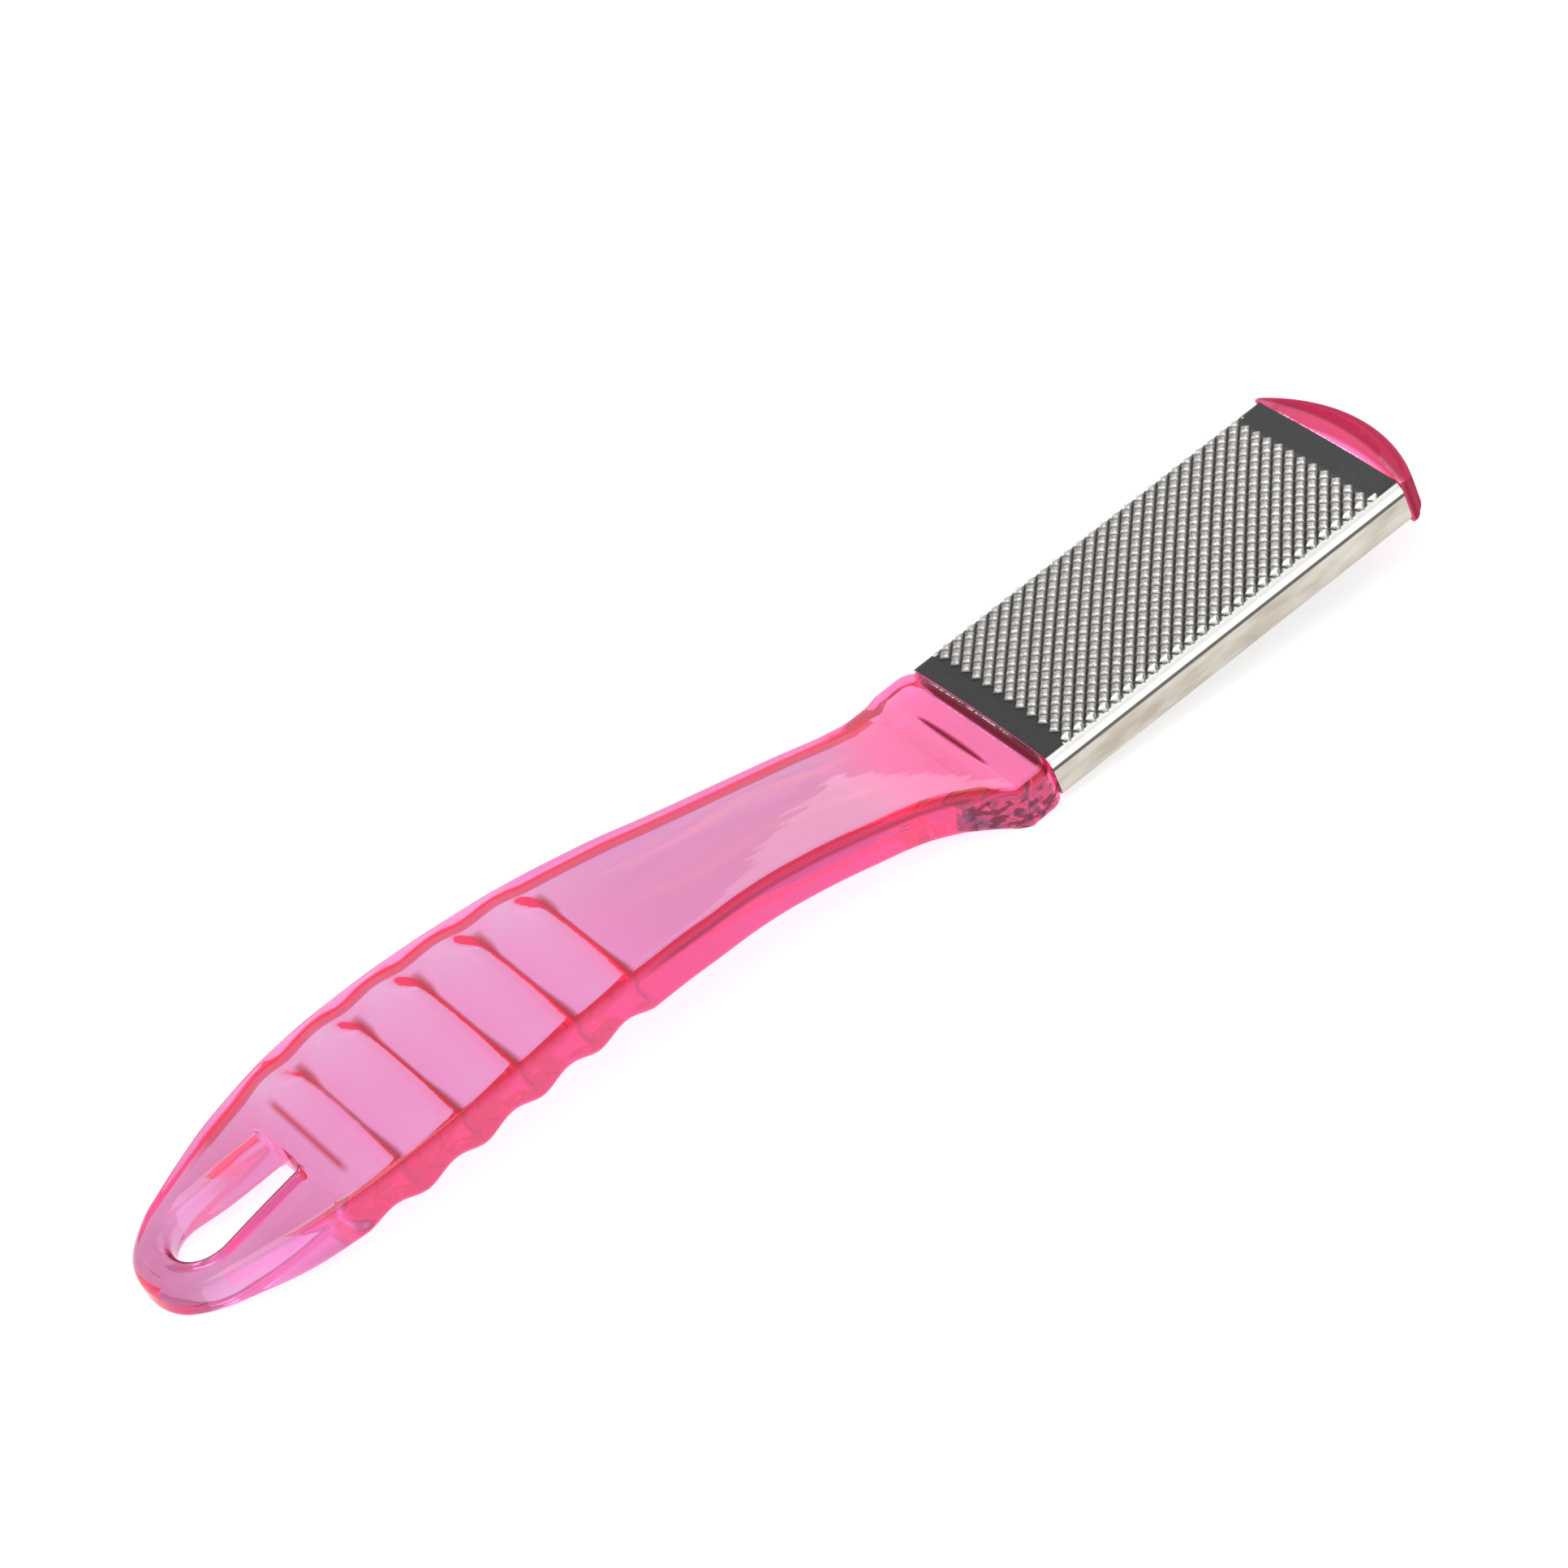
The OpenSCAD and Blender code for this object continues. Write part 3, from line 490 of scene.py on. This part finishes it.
def looks_at(x, y, z, nz):
    """How the surface looks at a place of the head's own frame; nz is the upward part of its normal.

    Gives three times four numbers: the tint that the surface lets through, painted shade and painted
    reflections included, with the share of painted corner shade; the haze and painted shade on it with their
    share; and the painted glow.
    """
    s = min(max(-x, 0), TINTS[-1][0])
    i = min(max(k for k, t in enumerate(TINTS) if t[0] <= s), len(TINTS) - 2)
    tint = mixed(TINTS[i][1], TINTS[i + 1][1], ease((s - TINTS[i][0]) / (TINTS[i + 1][0] - TINTS[i][0])))
    haze_and_shade, glow = (0, 0, 0, 0), (0, 0, 0, 1)
    if not -1 < -x < HANDLE_L + 1:
        return (*TINTS[0][1], 0), haze_and_shade, glow
    half = half_w(min(s / HANDLE_L, TAIL_SHARE))
    c = min(abs(y) / max(half - EDGE_R, 1), 1)
    top = top_z(s) - TOP_CROWN * c * c
    neck = ease((s - STREAKS_FROM) / 10) * ease((STREAKS_TO - s) / 12)
    depth, thick = top - z, top - low_z(s, 1)
    rim = abs(y) > half - EDGE_R - 0.1
    # painted lilac and warm reflections in streaks over the neck, painted magenta shade along its far edge
    if nz > 0.5:
        wave = math.sin(s * 0.21)
        lilac_reflection = (bump_at(y, 9.6 + wave, 2.2) + bump_at(y, 6.3 + wave, 1.0)
                 + 0.6 * bump_at(y, 1.5 - wave, 1.8))
        warm_reflection = bump_at(y, 4.9 + wave, 1.3) + 0.7 * bump_at(y, -4.5 + wave, 1.6)
        tint = mixed(tint, LILAC_REFLECTION, 0.55 * min(neck * lilac_reflection, 1))
        tint = mixed(tint, WARM_REFLECTION, 0.55 * min(neck * warm_reflection, 1))
    if rim and y > 0 and depth < EDGE_R:
        tint = mixed(tint, MAGENTA_EDGE_SHADE, 0.8 * ease((s - 12) / 8) * ease((80 - s) / 12))
    # painted crimson shade and a painted glow along the far lower edge
    edge = 0
    if 12 < s and y > half - FOOT_R + 0.2 and depth > thick - FOOT_R - 0.1:
        edge = ease((0.90 * HANDLE_L - s) / 8)
        tint = mixed(tint, FAR_FOOT_SHADE, 0.95 * edge)
    # painted shade at the crests and ahead of the slot, darkening the tint
    painted_shade = shade_at(s, y, z, c, top)
    if rim and y < 0:
        painted_shade *= ease((-nz - 0.3) / 0.4)
    tint = mixed(tint, CRIMSON_SHADE if y > 0 or s > CRESTS_END else NEAR_CREST_SHADE, painted_shade)
    painted_line = painted_line_at(s, y, z, c, top)
    # painted light on upright walls: a pink glow outside, a paler one round the tail; in the slot pale haze
    # with a painted glow, and painted red shade high on its near wall
    wall = ease((0.75 - abs(nz)) / 0.3)
    if SLOT_AT - 3 < s and math.hypot(max(s - SLOT_AT - 14, 0), y) < half - 5.5:
        if y < -0.5:
            upper = ease((4.0 - depth) / 1.2)
            haze_and_shade = mixed((*SLOT_PALE, 0.35 * wall), (*SLOT_RED_SHADE, 0.65 * wall), upper)
            glow = mixed(lit_by(SLOT_LOW_GLOW, wall), lit_by(SLOT_RED_GLOW, wall), upper)
        else:
            haze_and_shade = (*SLOT_PALE, 0.35 * wall)
            glow = lit_by(SLOT_GLOW, wall)
    elif rim or edge:
        low_part = ease((depth - 0.3) / 0.9) * ease((thick - depth) / 1.0)
        tail = ease((s - PALE_TAIL_AT) / 1.5) * (y < 0)
        tail_part = low_part * (1 - 0.5 * ease((s - 140) / 10))
        glow = mixed(lit_by(WALL_GLOW, low_part), lit_by(TAIL_GLOW, tail_part), tail)
        glow = mixed(glow, lit_by(FOOT_GLOW, 1), edge)
        # painted shade: a dark line under the near brow of the neck
        if y < 0:
            share = 0.7 * bump_at(depth, 1.35, 0.75) * ease((s - 9) / 6) * ease((74 - s) / 10)
            haze_and_shade = (*BROW_SHADE, share)
    # painted shade at the crests as haze, where no other haze lies
    if painted_shade > 0.01 and haze_and_shade[3] < 0.01:
        haze_and_shade = (*CREST_SHADE, (0.5 if s < CRESTS_END else 0.2) * painted_shade)
    # painted dark lines of shade over all else, in haze and tint
    if painted_line > 0.01:
        haze_and_shade = (*MAROON_SHADE, 0.9 * painted_line)
        glow = (0, 0, 0, 1)
        tint = mixed(tint, CRIMSON_SHADE, painted_line)
    # painted dark squiggles of shade in the near front corner of the shoulder
    corner_shade = ease((depth - 1.4) / 0.6) * ease((CORNER_SHADE_END - s) / 2) if rim and y < 0 else 0
    return (*tint, corner_shade), haze_and_shade, glow


def slot_half(corner=8, side=24, end=26):
    """Half the slot seen from above: distance from the plates, half width and outward normal."""
    h, r = SLOT_W / 2, SLOT_END_W / 2
    c = SLOT_L - r
    a = math.acos(r / math.hypot(c, h)) - math.atan2(c, h)
    nx, ny = math.sin(a), math.cos(a)
    inner = (SLOT_R, (h * ny - SLOT_R * (1 + nx)) / ny)

    def point(cen, rad, t):
        return (SLOT_AT + cen[0] + rad * math.cos(t), cen[1] + rad * math.sin(t), math.cos(t), math.sin(t))

    out = [(SLOT_AT, inner[1] * k / 6, -1.0, 0.0) for k in range(6)]
    out += [point(inner, SLOT_R, math.pi - (math.pi / 2 + a) * k / corner) for k in range(corner + 1)]
    p, q = point(inner, SLOT_R, math.pi / 2 - a), point((c, 0), r, math.pi / 2 - a)
    out += [tuple(u + (v - u) * k / side for u, v in zip(p, q)) for k in range(1, side)]
    out += [point((c, 0), r, (math.pi / 2 - a) * (1 - k / end)) for k in range(end + 1)]
    return out


def slot_tool(n=14):
    """The slot's cutter: upright walls, opening out round both rims but not at the upper straight end."""
    half = slot_half()
    rows = []

    def share(s, y):
        return min(abs(y) / (half_w(min(s / HANDLE_L, TAIL_SHARE)) - EDGE_R), 1)

    def ring(grow, drop, upper):
        out = []
        for side in (1, -1):
            for o in (half if side > 0 else half[-2:0:-1]):
                s = o[0] + (max(o[2], 0) if upper else o[2]) * grow
                y = o[1] + o[3] * grow
                c = share(s, y)
                z = top_z(s) - TOP_CROWN * c * c - drop if upper else low_z(s, c) + drop
                out.append((-s, side * y, z))
        return out

    ends = []
    for k in range(n + 1):
        a = math.radians(RIM_TURN) * k / n
        ends.append((RIM_R * (1 - math.cos(a)), RIM_R * (1 - math.sin(a))))
    ends.append((RIM_R, -RIM_R / 2))
    for g, d in reversed(ends):
        rows.append(ring(g, d, False))
    for g, d in ends:
        rows.append(ring(g, d, True))
    m = len(rows[0])
    v = [p for row in rows for p in row]
    f = []
    for i in range(len(rows) - 1):
        for k in range(m):
            j = (k + 1) % m
            f.append([i * m + k, i * m + j, (i + 1) * m + j, (i + 1) * m + k])
    f.append(list(range(m))[::-1])
    f.append([(len(rows) - 1) * m + k for k in range(m)])
    ob = make_mesh("slot", np.array(v), f)
    bm = bmesh.new()
    bm.from_mesh(ob.data)
    bmesh.ops.triangulate(bm, faces=bm.faces[:])
    bmesh.ops.recalc_face_normals(bm, faces=bm.faces[:])
    bm.to_mesh(ob.data)
    bm.free()
    return ob


# ---------------------------------------------------------------- materials
def material(name):
    m = bpy.data.materials.new(name)
    m.use_nodes = True
    m.node_tree.nodes.clear()
    return m, m.node_tree.nodes, m.node_tree.links


def put(n, kind, **values):
    """A new node with constants on its sockets, whose names have _ for a space here."""
    node = n.new(kind)
    for name, v in values.items():
        node.inputs[name.replace("_", " ")].default_value = v
    return node


def calc(n, l, op, a, b=None, clamp=False):
    """A Math node on sockets or numbers."""
    node = n.new("ShaderNodeMath")
    node.operation = op
    node.use_clamp = clamp
    for k, v in enumerate((a, b)):
        if v is None:
            continue
        if isinstance(v, (int, float)):
            node.inputs[k].default_value = v
        else:
            l.new(v, node.inputs[k])
    return node.outputs[0]


def above(n, l, value, start, rise):
    """0 up to start, then up to 1 over the rise."""
    return calc(n, l, "DIVIDE", calc(n, l, "SUBTRACT", value, start), rise, True)


def gain(n, l, value, start, factor, clamp=True):
    """What the value has above start, times factor."""
    return calc(n, l, "MULTIPLY", calc(n, l, "SUBTRACT", value, start), factor, clamp)


def band(n, l, value, low, high, soft):
    """1 where low < value < high, with soft ends."""
    return calc(n, l, "MULTIPLY", above(n, l, value, low, soft), above(n, l, high, value, soft))


def blend(n, l, fac, a, b):
    """Colour a turned into colour b by fac; either may be a socket."""
    mix = n.new("ShaderNodeMix")
    mix.data_type = "RGBA"
    l.new(fac, mix.inputs["Factor"])
    for name, v in (("A", a), ("B", b)):
        if isinstance(v, tuple):
            mix.inputs[name].default_value = (*v, 1)
        else:
            l.new(v, mix.inputs[name])
    return mix.outputs["Result"]


def mix_shaders(n, l, fac, a, b):
    """Shader a turned into shader b by fac, a socket or a number."""
    mix = n.new("ShaderNodeMixShader")
    if isinstance(fac, float):
        mix.inputs["Fac"].default_value = fac
    else:
        l.new(fac, mix.inputs["Fac"])
    l.new(a, mix.inputs[1])
    l.new(b, mix.inputs[2])
    return mix.outputs["Shader"]


def noise_on(n, l, vector, scale, detail, stretch=(1, 1, 1)):
    """Noise between 0 and 1 over a vector, drawn out by stretch."""
    if stretch != (1, 1, 1):
        draw = put(n, "ShaderNodeMapping", Scale=stretch)
        l.new(vector, draw.inputs["Vector"])
        vector = draw.outputs["Vector"]
    tex = put(n, "ShaderNodeTexNoise", Scale=scale, Detail=detail)
    l.new(vector, tex.inputs["Vector"])
    return tex.outputs["Fac"]


def emboss(n, l, bsdf, height, strength, distance):
    """Small relief on a shader."""
    bump = put(n, "ShaderNodeBump", Strength=strength, Distance=distance)
    l.new(height, bump.inputs["Height"])
    l.new(bump.outputs["Normal"], bsdf.inputs["Normal"])


def head_coordinates(n, l):
    """Object coordinates turned back to the head's own millimetres: as a vector, then as x, y and z."""
    coord = n.new("ShaderNodeTexCoord")
    back = put(n, "ShaderNodeMapping", Location=(SHIFT * MM, 0, LIFT * MM), Rotation=(0, -tilt, 0),
               Scale=(MM, MM, MM))
    back.vector_type = "TEXTURE"
    l.new(coord.outputs["Object"], back.inputs["Vector"])
    sep = n.new("ShaderNodeSeparateXYZ")
    l.new(back.outputs["Vector"], sep.inputs[0])
    return back.outputs["Vector"], sep.outputs["X"], sep.outputs["Y"], sep.outputs["Z"]


CORNER_SHADE_TINT, CORNER_SHADE_HAZE = (0.20, 0.010, 0.02), (0.16, 0.02, 0.03)
BORDER_SHADE_TINT, BORDER_SHADE_HAZE, LENS_GLOW = (0.42, 0.05, 0.10), (0.62, 0.022, 0.10), (0.36, 0.02, 0.10)
GLINT, HELD_LIGHT = (0.62, 0.52, 0.56), (1.0, 0.09, 0.26, 1)


def clear_pink():
    """Clear pink plastic. Tint, haze, painted shade and painted glow come with the mesh; painted corner
    shade, the tip's painted shade and light, and glints are placed here.
    """
    m, n, l = material("clear_pink_plastic")
    out = n.new("ShaderNodeOutputMaterial")
    bsdf = put(n, "ShaderNodeBsdfPrincipled", Roughness=0.02, IOR=1.5, Transmission_Weight=1.0,
               Emission_Strength=1.0)

    def layer(name):
        node = n.new("ShaderNodeAttribute")
        node.attribute_type = "GEOMETRY"
        node.attribute_name = name
        return node

    tint, haze_and_shade, glow = layer("tint"), layer("haze_and_shade"), layer("glow")
    p, x, y, _ = head_coordinates(n, l)
    # painted dark squiggles of shade in the near front corner of the shoulder, where the tint's alpha asks
    # for them
    corner_shade = gain(n, l, noise_on(n, l, p, 0.5, 2, (1, 1, 1.8)), 0.47, 12.0)
    corner_shade = calc(n, l, "MULTIPLY", corner_shade, tint.outputs["Alpha"])
    # the tip: painted crimson shade round its border outside a lens of painted light
    tip = calc(n, l, "GREATER_THAN", x, HEAD_L + 0.02)
    bow = calc(n, l, "MULTIPLY", calc(n, l, "MULTIPLY", y, y), LENS / (HEAD_W / 2) ** 2)
    border_shade = above(n, l, calc(n, l, "ADD", x, bow), HEAD_L + LENS, 0.8)
    lens = calc(n, l, "MULTIPLY", calc(n, l, "SUBTRACT", 1.0, border_shade), tip)
    col = blend(n, l, corner_shade, tint.outputs["Color"], CORNER_SHADE_TINT)
    l.new(blend(n, l, border_shade, col, BORDER_SHADE_TINT), bsdf.inputs["Base Color"])
    # dotted lines of light along both ends of the plates
    lines = calc(n, l, "MAXIMUM", band(n, l, x, HEAD_L + 0.03, HEAD_L + 0.40, 0.06),
                 band(n, l, x, -0.34, -0.03, 0.06))
    lines = calc(n, l, "MULTIPLY", lines, band(n, l, y, -9.5, 13.5, 3.0))
    dots = gain(n, l, noise_on(n, l, p, 1.7, 1), 0.40, 6.0)
    light = blend(n, l, lens, glow.outputs["Color"], LENS_GLOW)
    light = blend(n, l, calc(n, l, "MULTIPLY", lines, dots), light, GLINT)
    l.new(light, bsdf.inputs["Emission Color"])
    # haze and painted shade over the clear plastic
    haze_shade_bsdf = n.new("ShaderNodeBsdfDiffuse")
    haze_shade_colour = blend(n, l, border_shade, haze_and_shade.outputs["Color"], BORDER_SHADE_HAZE)
    l.new(blend(n, l, corner_shade, haze_shade_colour, CORNER_SHADE_HAZE), haze_shade_bsdf.inputs["Color"])
    share = calc(n, l, "MAXIMUM", haze_and_shade.outputs["Alpha"], calc(n, l, "MULTIPLY", border_shade, 0.8))
    share = calc(n, l, "MAXIMUM", share, calc(n, l, "MULTIPLY", corner_shade, 0.5))
    haze_shaded = mix_shaders(n, l, share, bsdf.outputs["BSDF"], haze_shade_bsdf.outputs["BSDF"])
    # slow flow waves that moulding leaves, mostly along the tool
    coord = n.new("ShaderNodeTexCoord")
    waves = noise_on(n, l, coord.outputs["Object"], 1.0, 2, (14, 230, 230))
    emboss(n, l, bsdf, waves, 0.10, 0.0006)
    # light that has bounced about inside goes straight on with a deep pink of its own: no edge turns black
    path = n.new("ShaderNodeLightPath")
    through = n.new("ShaderNodeBsdfTransparent")
    held = put(n, "ShaderNodeEmission", Color=HELD_LIGHT)
    leaving = mix_shaders(n, l, 0.5, through.outputs["BSDF"], held.outputs["Emission"])
    deep = calc(n, l, "MAXIMUM", calc(n, l, "GREATER_THAN", path.outputs["Glossy Depth"], 2.5),
                calc(n, l, "GREATER_THAN", path.outputs["Ray Depth"], 6.5))
    inner = mix_shaders(n, l, deep, haze_shaded, leaving)
    # lamps shine through
    clear = put(n, "ShaderNodeBsdfTransparent", Color=(0.985, 0.93, 0.96, 1))
    whole = mix_shaders(n, l, path.outputs["Is Shadow Ray"], inner, clear.outputs["BSDF"])
    l.new(whole, out.inputs["Surface"])
    vol = put(n, "ShaderNodeVolumeAbsorption", Color=(0.972, 0.165, 0.61, 1), Density=140.0)
    l.new(vol.outputs["Volume"], out.inputs["Volume"])
    return m


def after_bounces(n, l, shader):
    """The shader with a little light of its own where it's only met after several mirror bounces."""
    path = n.new("ShaderNodeLightPath")
    glow = put(n, "ShaderNodeEmission", Color=(0.45, 0.42, 0.42, 1))
    late = calc(n, l, "GREATER_THAN", path.outputs["Glossy Depth"], 2.5)
    return mix_shaders(n, l, late, shader, glow.outputs["Emission"])


DARK_REFLECTION = ((0.040, 0.044, 0.042), (0.062, 0.060, 0.060))
TOOTH_SHADE_TO_LIGHT = ((0.24, 0.23, 0.22), (0.56, 0.55, 0.535))
DRAWN_IN_REFLECTION = ((0.46, 0.41, 0.345), (0.67, 0.635, 0.57))
STEEL, SHADE_BETWEEN = (0.80, 0.79, 0.77), (0.080, 0.076, 0.074)
BEND_HIGHLIGHT, BEND_DARK_REFLECTION = (0.98, 0.975, 0.96), (0.13, 0.12, 0.11)
TEETH_Y = 16.6


def steel_coarse():
    """Sheet with a painted dark reflection, ground teeth with painted light on one side, painted highlights
    on the rolled bends and drawn side walls in a painted reflection.
    """
    m, n, l = material("coarse_file_steel")
    out = n.new("ShaderNodeOutputMaterial")
    bsdf = put(n, "ShaderNodeBsdfPrincipled", Metallic=1.0)
    p, x, y, z = head_coordinates(n, l)
    # height over the crowned sheet, and where teeth stand or show as cut off cells at the bends
    bow = calc(n, l, "MULTIPLY", calc(n, l, "MULTIPLY", y, y), 1 / (2 * CROWN_R))
    height = calc(n, l, "ADD", z, bow)
    across = calc(n, l, "ABSOLUTE", y)
    outer = above(n, l, across, 16.4, 0.1)
    outer = calc(n, l, "MULTIPLY", outer, band(n, l, x, STRIP_L, HEAD_L - STRIP_L, 0.1))
    lattice = calc(n, l, "MAXIMUM", above(n, l, height, 0.05, 0.08), outer)
    # place inside a tooth's own cell of the staggered lattice
    u = calc(n, l, "DIVIDE", calc(n, l, "SUBTRACT", x, STRIP_L), PITCH_L / 2)
    v = calc(n, l, "ADD", calc(n, l, "DIVIDE", y, PITCH_W / 2), LATTICE_W / 2)
    cells = []
    for op in ("ADD", "SUBTRACT"):
        q = calc(n, l, "MULTIPLY", calc(n, l, op, u, v), 0.5)
        cells.append(calc(n, l, "SUBTRACT", q, calc(n, l, "ROUND", q)))
    grain = noise_on(n, l, p, 2.6, 2)
    ragged = gain(n, l, noise_on(n, l, p, 3.2, 1), 0.5, 0.14, False)

    def inside(cell, reach, soft):
        off = calc(n, l, "ADD", calc(n, l, "ABSOLUTE", cell), ragged)
        return above(n, l, reach, off, soft)

    tooth = calc(n, l, "MULTIPLY", inside(cells[0], 0.48, 0.16), inside(cells[1], 0.46, 0.22))
    tooth = calc(n, l, "MULTIPLY", tooth, lattice)
    # a painted highlight along the rolled bends, a painted dark reflection as a line below them, and the side
    # walls
    bend_highlight = band(n, l, z, -2.42, -1.36, 0.12)
    dark_reflection_line = band(n, l, z, -3.20, -2.30, 0.20)
    wall = above(n, l, -2.95, z, 0.25)
    # colours of the teeth, with painted light towards one side of each and painted shade towards the other
    lit = calc(n, l, "ADD", gain(n, l, grain, 0.40, 2.4, False), calc(n, l, "MULTIPLY", cells[1], 1.9))
    tooth_light = blend(n, l, calc(n, l, "ADD", lit, 0.25, True), *TOOTH_SHADE_TO_LIGHT)
    tooth_light = blend(n, l, outer, tooth_light, STEEL)
    # the sheet: a painted dark reflection on top, plain at its ends and underneath, painted shade darkest
    # between the teeth
    dark_reflection = blend(n, l, noise_on(n, l, p, 0.55, 4), *DARK_REFLECTION)
    outside = above(n, l, height, -0.30, 0.10)
    from_mid = calc(n, l, "ABSOLUTE", calc(n, l, "SUBTRACT", x, HEAD_L / 2))
    ends = calc(n, l, "GREATER_THAN", from_mid, HEAD_L / 2 - 0.02)
    plain = calc(n, l, "MAXIMUM", ends, calc(n, l, "SUBTRACT", 1.0, outside))
    col = blend(n, l, plain, dark_reflection, STEEL)
    shade_between = calc(n, l, "MULTIPLY", band(n, l, x, STRIP_L + 0.8, HEAD_L - STRIP_L - 0.8, 0.9),
                   calc(n, l, "LESS_THAN", across, TEETH_Y))
    col = blend(n, l, calc(n, l, "MULTIPLY", shade_between, outside), col, SHADE_BETWEEN)
    col = blend(n, l, tooth, col, tooth_light)
    col = blend(n, l, bend_highlight, col, BEND_HIGHLIGHT)
    # side walls with long drawn streaks in a painted beige reflection, and a painted dark reflection as a
    # line over them
    streak = noise_on(n, l, p, 1.0, 3, (0.12, 1.0, 0.5))
    col = blend(n, l, wall, col, blend(n, l, gain(n, l, streak, 0.3, 2.4), *DRAWN_IN_REFLECTION))
    l.new(blend(n, l, dark_reflection_line, col, BEND_DARK_REFLECTION), bsdf.inputs["Base Color"])
    bright = calc(n, l, "MAXIMUM", tooth, calc(n, l, "MAXIMUM", bend_highlight, wall))
    rough = put(n, "ShaderNodeMapRange", To_Min=0.45, To_Max=0.36)
    l.new(bright, rough.inputs["Value"])
    l.new(rough.outputs["Result"], bsdf.inputs["Roughness"])
    emboss(n, l, bsdf, noise_on(n, l, p, 1.0, 3, (0.25, 9, 9)), 0.12, 0.00005)
    l.new(after_bounces(n, l, bsdf.outputs["BSDF"]), out.inputs["Surface"])
    return m


def steel_fine():
    """Steel with a fine crosswise cut on its lower face."""
    m, n, l = material("fine_file_steel")
    out = n.new("ShaderNodeOutputMaterial")
    bsdf = put(n, "ShaderNodeBsdfPrincipled", Metallic=1.0, Roughness=0.35)
    _, x, y, z = head_coordinates(n, l)
    waves = [calc(n, l, "PINGPONG", calc(n, l, "MULTIPLY", calc(n, l, op, x, y), 1.1), 0.5)
             for op in ("ADD", "SUBTRACT")]
    cut = calc(n, l, "MULTIPLY", calc(n, l, "MULTIPLY", *waves), 4.0)
    cut = calc(n, l, "MULTIPLY", cut, calc(n, l, "LESS_THAN", z, FINE_LOW + 0.05))
    # painted shade in the hollows of the cut, bright on its ridges
    l.new(blend(n, l, cut, (0.32, 0.32, 0.32), (0.78, 0.77, 0.75)), bsdf.inputs["Base Color"])
    emboss(n, l, bsdf, cut, 0.8, 0.0003)
    l.new(after_bounces(n, l, bsdf.outputs["BSDF"]), out.inputs["Surface"])
    return m


# ---------------------------------------------------------------- the object
handle = handle_piece()
me = handle.data
co, normals = np.zeros(len(me.vertices) * 3), np.zeros(len(me.vertices) * 3)
me.vertices.foreach_get("co", co)
co = co.reshape(-1, 3)
me.vertices.foreach_set("co", to_table(co).ravel())
me.vertices.foreach_get("normal", normals)
looks = [looks_at(*q, nz) for q, nz in zip(co, normals[2::3])]
for k, name in enumerate(("tint", "haze_and_shade", "glow")):
    layer = me.attributes.new(name, "FLOAT_COLOR", "POINT")
    layer.data.foreach_set("color", [v for look in looks for v in look[k]])
me.update()
smooth(handle, 38)
me.materials.clear()
me.materials.append(clear_pink())
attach(handle, "root")
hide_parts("handle")


def dress(name, mat):
    """A CAD node's material slots filled with a better material."""
    ob = frame["nodes"][name]
    if not ob.data.materials:
        ob.data.materials.append(mat)
    for k in range(len(ob.data.materials)):
        ob.data.materials[k] = mat
    for s in ob.material_slots:
        s.material = mat


dress("coarse_file_plate", steel_coarse())
dress("fine_file_plate", steel_fine())

# ---------------------------------------------------------------- floor, world and lamps
FLOOR_SIZE, FLOOR_GREY, FLOOR_LIGHT, FLOOR_THROUGH = 6, 0.60, 0.66, 0.76
WORLD_LOW, WORLD_SEEN = 0.55, 1.0
WHITE = (1, 1, 1, 1)


def direct(n, l, path):
    """1 for rays of the camera and of mirrors."""
    return calc(n, l, "MAXIMUM", path.outputs["Is Camera Ray"], path.outputs["Is Glossy Ray"])


bpy.ops.mesh.primitive_plane_add(size=FLOOR_SIZE, location=(0, 0, 0))
floor = bpy.context.object
floor.name = "floor"
floor_white, n, l = material("floor_white")
out = n.new("ShaderNodeOutputMaterial")
diff = put(n, "ShaderNodeBsdfDiffuse", Color=(FLOOR_GREY, FLOOR_GREY, FLOOR_GREY, 1))
glow = put(n, "ShaderNodeEmission", Color=WHITE)
path = n.new("ShaderNodeLightPath")
through = calc(n, l, "MULTIPLY", path.outputs["Is Transmission Ray"], FLOOR_THROUGH)
power = calc(n, l, "MULTIPLY", calc(n, l, "MAXIMUM", direct(n, l, path), through), FLOOR_LIGHT)
l.new(power, glow.inputs["Strength"])
add = n.new("ShaderNodeAddShader")
l.new(diff.outputs["BSDF"], add.inputs[0])
l.new(glow.outputs["Emission"], add.inputs[1])
l.new(add.outputs["Shader"], out.inputs["Surface"])
floor.data.materials.append(floor_white)

world = bpy.data.worlds.new("studio")
bpy.context.scene.world = world
world.use_nodes = True
n, l = world.node_tree.nodes, world.node_tree.links
n.clear()
out = n.new("ShaderNodeOutputWorld")
bg = put(n, "ShaderNodeBackground", Color=WHITE)
path = n.new("ShaderNodeLightPath")
seen = calc(n, l, "MAXIMUM", direct(n, l, path), path.outputs["Is Transmission Ray"])
level = put(n, "ShaderNodeMapRange", To_Min=WORLD_LOW, To_Max=WORLD_SEEN)
l.new(seen, level.inputs["Value"])
l.new(level.outputs["Result"], bg.inputs["Strength"])
l.new(bg.outputs["Background"], out.inputs["Surface"])


def area(name, place, size, power):
    """A square soft lamp that looks at the middle of the floor."""
    data = bpy.data.lights.new(name, "AREA")
    data.shape = "SQUARE"
    data.size = size
    data.energy = power
    ob = bpy.data.objects.new(name, data)
    bpy.context.scene.collection.objects.link(ob)
    ob.location = place
    ob.rotation_euler = (-Vector(place)).to_track_quat("-Z", "Y").to_euler()


area("key", (-0.5, -0.3, 1.0), 0.9, 6.5)
area("fill", (0.7, 0.5, 0.8), 0.7, 2.0)

bpy.context.scene.view_settings.view_transform = "Standard"
